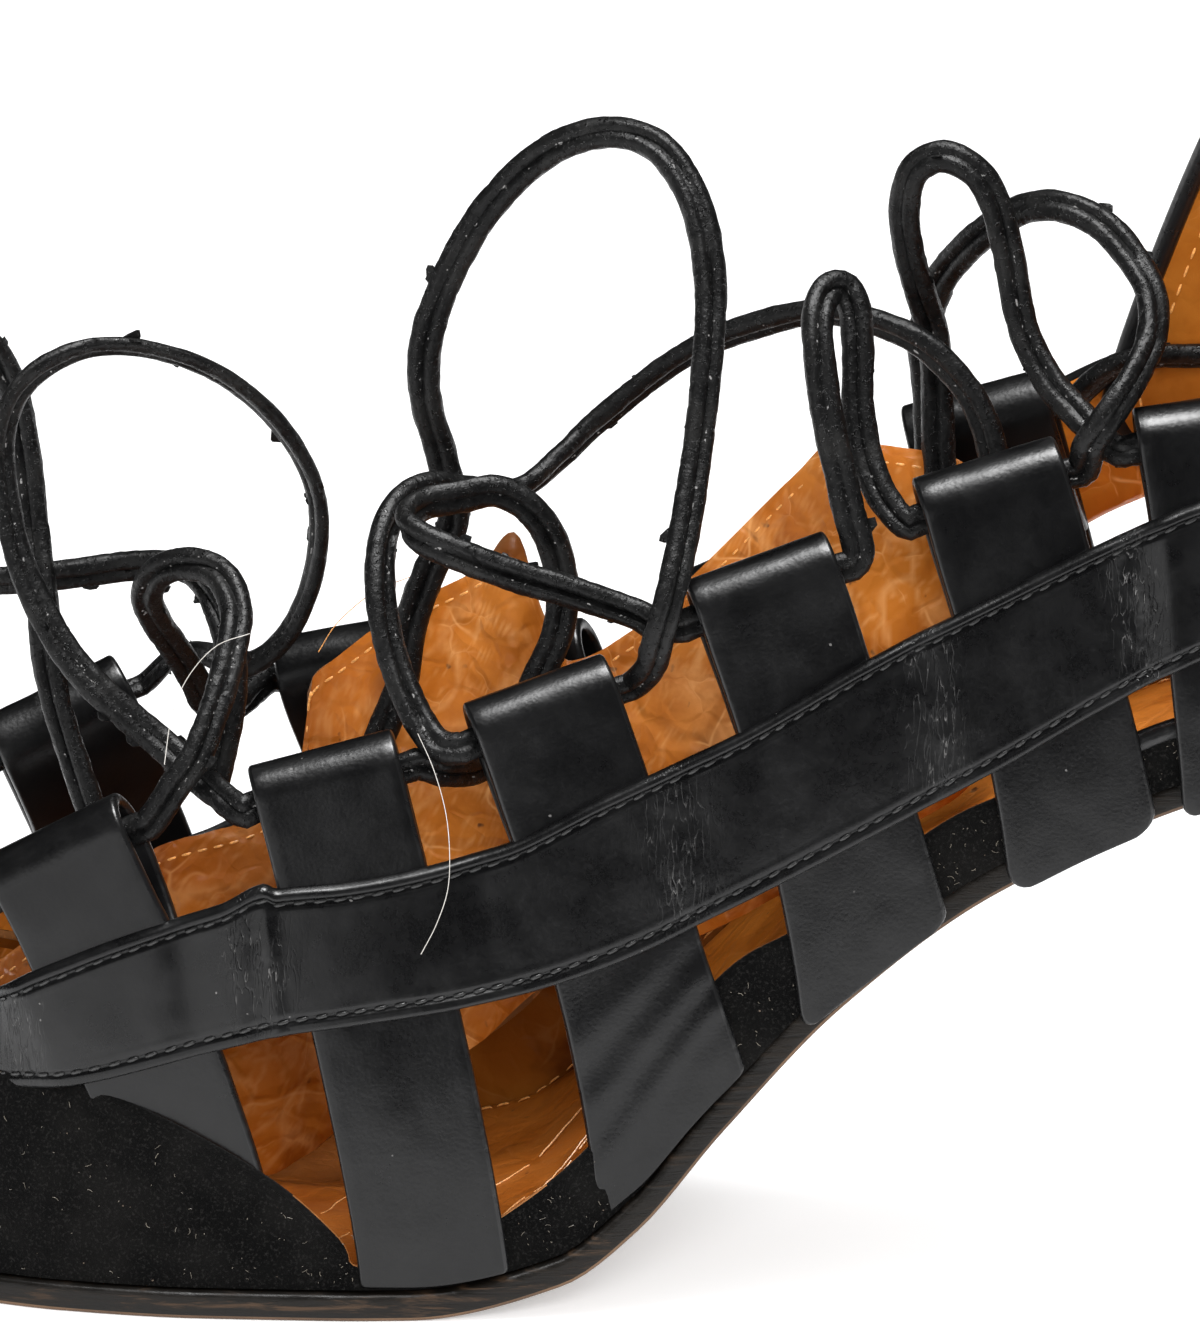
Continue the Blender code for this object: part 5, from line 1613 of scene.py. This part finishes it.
def make_tongue():
    first, last = TONGUE[1][0], TONGUE[-1][0]
    rows, count = TONGUE_LONG, TONGUE_TALL
    middle = [[tongue_point(x, t) for t in spread(0.0, 1.0, count)]
              for x in spread(first, last, rows)]
    front, back, crests, painted_shades = [], [], [], []
    for i in range(rows):
        for j in range(count):
            spot = middle[i][j]
            flat = Vector((spot.x, 0.0, spot.z))
            # painted highlight on the crests of the crumples
            crest = ramp(cell_fold(flat, *BIG_CELLS), *BIG_CREST)
            small = SMALL_PALE * ramp(cell_fold(flat, *SMALL_CELLS), *SMALL_CREST)
            crests.append(max(crest, small))
            # painted shade on the tongue's tip behind the crossing laces
            tip = TIP_FROM < spot.x < TIP_TO
            painted_shades.append(TIP_SHADE * ramp(spot.z, *TIP_HEIGHT) if tip else 0.0)
            along = middle[min(i + 1, rows - 1)][j] - middle[max(i - 1, 0)][j]
            out = step_over(middle[i], j).cross(along).normalized()
            out = -out if out.y > 0 else out
            edge = min(j, count - 1 - j, i, rows - 1 - i)
            thick = TONGUE_THICK / 2 * TONGUE_THIN[min(edge, 2)]
            front.append(spot + out * thick)
            back.append(spot - out * thick)
    faces, picks = [], []
    shift = len(front)
    for a in (i * count + j for i in range(rows - 1) for j in range(count - 1)):
        b = a + count
        faces += [(a, a + 1, b + 1, b), (a + shift, b + shift, b + 1 + shift, a + 1 + shift)]
        picks += [0, 1]
    rim = [*range(0, shift, count), *range(shift - count + 1, shift),
           *range(shift - count - 1, 0, -count), *range(count - 2, 0, -1)]
    for a, b in zip(rim, rim[1:] + rim[:1]):
        faces.append((a, b, b + shift, a + shift))
        picks.append(2)
    made = piece("crumpled_tongue", front + back, faces, [LINING, STRAP, TAN_EDGE],
                 ("tongue",), picks)
    add_marks(made, front, crests, "crest")
    add_marks(made, front, painted_shades, "painted_shade")
    line = []
    for x in spread(first + 2.0, last - 1.6, ROW_POINTS):
        if not TIP_FROM < x < TIP_TO:
            tall = TONGUE_COLUMNS["high_z"](x) - TONGUE_COLUMNS["low_z"](x)
            spot = tongue_point(x, 1 - TONGUE_STITCH / tall)
            line.append(spot + Vector((0.0, -TONGUE_THICK / 2 - STITCH_OUT, 0.0)))
    stitch_row("tongue_stitches", "tongue", line, Vector((0.0, -1.0, 0.0)))


make_tongue()


# ---------------------------------------------------------------- sole and heel
# Inset and height up the side of the outsole and of the insole
OUTSOLE_SIDE = ((0.75, 0.0), (0.42, 0.06), (0.16, 0.26), (0.05, 0.5), (0.0, 0.9), (0.0, 1.6),
                (0.0, 2.3), (0.05, 2.75), (0.2, 3.02), (0.45, 3.16), (0.7, 3.2))
INSOLE_SIDE = ((0.3, 0.0), (0.05, 0.25), (0.0, 0.8), (0.1, 1.35), (0.4, 1.65), (0.9, 1.8))
PLATE_LEAST = 0.15        # a plate's edge never rounds in past this share of its half width
INSOLE_LEAST = 0.4        # half width of the insole at its very tips
OUTSOLE_ACROSS, INSOLE_ACROSS = 15, 31  # points across their flat faces
INSOLE_PUFFS = ((0.35, 9.0, 3.0), (0.15, 3.5, 8.0))     # height, size and seed
INSOLE_STITCH = 2.6       # its stitches lie this far inside its edge
INSOLE_STITCH_ROW = (-100.0, 60.0, 320)  # first and last station, and fine points between
CREASE_THICK = 0.10       # radius of the crests of its creases, and how deep they lie
CREASE_SUNK = 0.05
# Creases of the insole, each from one station and share of the width to another
INSOLE_CREASES = (((-21.5, -0.62), (-8.0, -0.02)), ((-16.0, -0.40), (-4.0, 0.02)),
                  ((-24.0, -0.28), (-9.0, 0.35)), ((-41.0, -0.80), (-33.0, -0.30)),
                  ((-44.0, -0.50), (-36.0, 0.0)))
# Height of the heel's top piece and inset of its outline there
TIP_SIDE = ((0.0, 0.5), (0.12, 0.2), (0.45, 0.0), (4.5, 0.0), (4.85, 0.12), (5.0, 0.35))
HEEL_AROUND, HEEL_LEVELS = 72, 48


def fine_plate(name, node, places, half, profile, lift, looks, across):
    """A thin sheet along the shoe with a rounded edge; a second look goes on its flat faces."""
    points = []
    (low_in, low), *steps, (high_in, high) = profile
    for x in places:
        reach, middle = half(x), sole_centre(x)

        def spot(y, height):
            return (x, y, above_sole(x, y, height) + lift(x, y, height))

        def edge(inset):
            return max(reach - inset, reach * PLATE_LEAST)

        points += [spot(middle + edge(low_in) * t, low) for t in spread(-1, 1, across)]
        points += [spot(middle + edge(inset), height) for inset, height in steps]
        points += [spot(middle + edge(high_in) * t, high) for t in spread(1, -1, across)]
        points += [spot(middle - edge(inset), height) for inset, height in reversed(steps)]
    around = len(points) // len(places)
    faces = ring_faces(len(places), around)
    picks = [0] * len(faces)
    if len(looks) > 1:
        for k, face in enumerate(faces[:-2]):
            first, last = min(i % around for i in face), max(i % around for i in face)
            picks[k] = int(first <= across + 1 or first >= around - 3
                           or (first == 0 and last == around - 1))
    piece(name, points, faces, looks, (node,), picks)


def insole_puff(x, y):
    return sum(high * noise_at((x, y, 0.0), size, seed) for high, size, seed in INSOLE_PUFFS)


def make_soles():
    front, back = last_ends(0.0)
    fine_plate("leather_outsole", "outsole", dense_stations(TOE_X, HEEL_X),
               lambda x: sole_half_raw(x) * end_factor(x), OUTSOLE_SIDE,
               lambda x, y, height: 0.0, [SOLE_EDGE, SOLE_LEATHER], OUTSOLE_ACROSS)
    fine_plate("tan_insole", "insole", dense_stations(front + INSOLE_END, back - INSOLE_END),
               lambda x: max(INSOLE_LEAST, INSOLE_SHARE * last_half(x) - 2 * GAP), INSOLE_SIDE,
               lambda x, y, height: GAP + SOLE_THICK + (insole_puff(x, y) if height > 1.0 else 0.0),
               [INSOLE], INSOLE_ACROSS)


def insole_top(x, share):
    """Point on the insole: share runs from its outer edge (-1) to its inner edge (1)."""
    y = sole_centre(x) + share * INSOLE_SHARE * last_half(x)
    top = above_sole(x, y, SOLE_THICK + INSOLE_THICK) + GAP
    return Vector((x, y, top + insole_puff(x, y) + 0.02))


def insole_details():
    """A row of stitches near each edge and a few long creases with pale broken crests, a painted
    highlight.
    """
    for side in (OUTER, INNER):
        line = [insole_top(x, side * (1 - INSOLE_STITCH / last_half(x)))
                for x in spread(*INSOLE_STITCH_ROW)]
        stitch_row("insole_stitches_" + SIDE_NAME[side], "insole", line, UP)
    rng = random.Random(12)
    points, faces = [], []
    for (x0, s0), (x1, s1) in INSOLE_CREASES:
        line = []
        for t in spread(0.0, 1.0, 26):
            shift = 0.02 * math.sin(9 * t + x0) + 0.008 * rng.uniform(-1, 1)
            spot = insole_top(lerp(x0, x1, t), lerp(s0, s1, t) + shift)
            line.append(spot - UP * CREASE_SUNK)
        cut = rng.randrange(8, 16)
        for part in (line[:cut], line[cut + 1:]):
            join(points, faces, *tube(part, CREASE_THICK, 6))
    piece("insole_creases", points, faces, [TAN_CREST_HIGHLIGHT])


def heel_ring(front, back, half, height):
    """A level of the heel, blunt in front; height is a function of the place."""
    points = []
    for turn in turns_of(HEEL_AROUND):
        along = math.cos(turn)
        bow = math.copysign(abs(along) ** (1.0 if along > 0 else 1 / HEEL_BLUNT), along)
        x, y = (front + back) / 2 + (back - front) / 2 * bow, half * math.sin(turn)
        points.append((x, y, height(x, y)))
    return points


def make_heel():
    points = []
    for level in spread(0.0, 1.0, HEEL_LEVELS):
        slim = 1 - (1 - level) ** HEEL_SLIM
        points += heel_ring(
            lerp(HEEL_BREAST_X, HEEL_TIP_FRONT, slim),
            lerp(HEEL_X - HEEL_INSET, HEEL_TIP_BACK, 1 - (1 - level) ** HEEL_BACK_SLIM),
            lerp(HEEL_ROUND - HEEL_SIDE_INSET, HEEL_TIP_HALF, slim),
            lambda x, y: lerp(above_sole(x, y, 0.0) - GAP, HEEL_TIP_HEIGHT + GAP, level))
    piece("covered_heel", points, ring_faces(HEEL_LEVELS, HEEL_AROUND), [STRAP],
          ("heel",))
    points = []
    for z, inset in TIP_SIDE:
        points += heel_ring(HEEL_TIP_FRONT + inset, HEEL_TIP_BACK - inset, HEEL_TIP_HALF - inset,
                            lambda x, y: z)
    piece("top_piece", points, ring_faces(len(TIP_SIDE), HEEL_AROUND), [RUBBER],
          ("heel_tip",))


make_soles()
insole_details()
make_heel()


# ---------------------------------------------------------------- hairs and lint
# Loose hairs and one thread that lie on the shoe: thickness, look, slot and points passed
HAIRS = (
    ("hair_front", 0.05, HAIR, "laces", (
        (-47.8, -24.5, 78.7), (-51.7, -24.5, 77.2), (-54.9, -24.5, 73.6), (-56.8, -25.0, 69.2),
        (-57.7, -26.5, 63.6))),
    ("hair_band", 0.048, HAIR, "upper", (
        (-28.4, -27.0, 67.4), (-26.6, -30.0, 64.0), (-25.2, -34.0, 60.0), (-24.7, -38.6, 56.4),
        (-24.9, -39.4, 52.0), (-26.2, -39.9, 48.0), (-28.0, -39.9, 44.4))),
    ("hair_tongue", 0.05, TAN_THREAD, "tongue", (
        (-31.5, 3.0, 53.0), (-29.8, 2.6, 49.0), (-28.8, 2.4, 45.0))),
    ("hair_far", 0.06, TAN_THREAD, "upper", (
        (-40.2, 12.0, 67.4), (-38.0, 14.0, 70.4), (-33.8, 16.0, 73.6), (-29.4, 18.0, 75.0))),
    ("loose_thread", 0.13, TAN_THREAD, "insole", (
        (16.2, -8.0, 39.2), (13.0, -14.0, 33.8), (10.0, -20.0, 29.5), (7.6, -24.6, 27.0))),
)
LINT_ENDS = (-104.0, 60.0)         # it lies between these stations
LINT_COUNT = {OUTER: 320, INNER: 160}
LINT_OUT = WALL + 0.06             # and this far outside the last
LINT_ROOM = 2.5                    # no lint where the wall is lower than this
LINT_EDGES = (1.0, 0.8)            # it keeps this far from the wall's foot and top
LINT_SIZE = (0.07, 0.35)           # half length of the shortest, and how much more at most
LINT_THICK = (0.022, 0.042)
CAP_END = -40                      # the cap's lint ends here, the low wall's begins
cap_top = column((("x", "z"), (-104, 22.0), (-96, 27.0), *CAP_LINE[2:9]), "z")
wall_top = column((("x", "z"), *WALL_LINE), "z")


def make_hairs():
    for name, thick, look, slot, passes in HAIRS:
        points, faces = tube(smooth_route(passes, 0.8), thick, 6)
        piece(name, points, faces, [look])


def make_lint():
    """Short pale fibres that cling to the suede of cap and low wall."""
    rng = random.Random(41)
    for side, count in LINT_COUNT.items():
        points, faces = [], []
        for _ in range(count):
            station = rng.uniform(*LINT_ENDS)
            half = last_half(station, WALL)
            foot = above_sole(station, sole_centre(station) + side * half, SOLE_THICK)
            cap = station < CAP_END
            top = lerp(cap_top(station), foot, 0.06) if cap else wall_top(station)
            if top - foot < LINT_ROOM:
                continue
            z = lerp(foot + LINT_EDGES[0], top - LINT_EDGES[1], rng.random())
            here = wall_point(station, z, side, LINT_OUT)
            turn = rng.uniform(0, math.pi)
            size = LINT_SIZE[0] + LINT_SIZE[1] * rng.random() ** 3
            ahead = wall_point(station + 0.5, z, side, LINT_OUT) - here
            above = wall_point(station, z + 0.5, side, LINT_OUT) - here
            way = ahead.normalized() * math.cos(turn) + above.normalized() * math.sin(turn)
            out = ahead.cross(above).normalized()
            out = out if out.y * side > 0 else -out
            over = way.cross(out).normalized()
            bend = rng.uniform(-0.5, 0.5) * size
            route = [here + way * size * t + over * bend * (1 - t * t) + out * 0.05
                     for t in (-1, -0.5, 0, 0.5, 1)]
            join(points, faces, *tube(route, rng.uniform(*LINT_THICK), 4))
        piece(SIDE_NAME[side] + "_lint", points, faces, [LINT])


make_hairs()
make_lint()


# ---------------------------------------------------------------- floor and light
FLOOR_FRONT = -230.0      # the polished leather mirrors the floor only behind this
FLOOR_SIDE, FLOOR_BACK = 5000, 7000
LIGHT_AIM = (0.0, 0.0, 60.0)
WORLD_STRENGTH = 0.85
# Place in millimetres, size in metres and power of each soft box
SOFT_BOXES = {
    "overhead": ((40, -60, 1300), (0.62, 0.5), 11.0),
    "overhead_gleam": ((40, -60, 1290), (0.62, 0.5), 20.0),
    "left_panel": ((-700, -1040, 170), (1.15, 0.6), 3.2),
    "front_fill": ((130, -1100, 460), (0.5, 0.5), 15.0),
}


def make_floor():
    """A white sheet under the shoe and far behind it; in front a part the leather never mirrors."""
    look = glowing_floor_look()
    for name, front, back in (("floor", FLOOR_FRONT, FLOOR_BACK),
                              ("floor_front", -FLOOR_SIDE, FLOOR_FRONT)):
        mesh = bpy.data.meshes.new(name)
        corners = [(x * FLOOR_SIDE, y, 0)
                   for x, y in ((-1, front), (1, front), (1, back), (-1, back))]
        mesh.from_pydata([world(corner) for corner in corners], [], [(0, 1, 2, 3)])
        mesh.materials.append(look)
        made = add_object(name, mesh)
        made.visible_glossy = name == "floor"


def make_lights():
    """Soft boxes; the gleam is only mirrored, and the front fill never is."""
    for name, (place, size, power) in SOFT_BOXES.items():
        lamp = bpy.data.lights.new(name, "AREA")
        lamp.shape = "RECTANGLE"
        lamp.size, lamp.size_y = size
        lamp.energy = power
        made = add_object(name, lamp)
        made.location = world(place)
        aim = world(LIGHT_AIM) - made.location
        made.rotation_euler = aim.to_track_quat("-Z", "Y").to_euler()
        made.visible_diffuse = name != "overhead_gleam"
        made.visible_glossy = name != "front_fill"


def make_world():
    """Even daylight that reaches every gap but is not mirrored by the polished leather."""
    sky = bpy.data.worlds.new("studio")
    sky.use_nodes = True
    back = sky.node_tree.nodes["Background"]
    back.inputs["Color"].default_value = (1.0, 1.0, 1.0, 1.0)
    back.inputs["Strength"].default_value = WORLD_STRENGTH
    sky.cycles_visibility.glossy = False
    bpy.context.scene.world = sky
    bpy.context.scene.view_settings.view_transform = "Standard"


make_floor()
make_world()
make_lights()
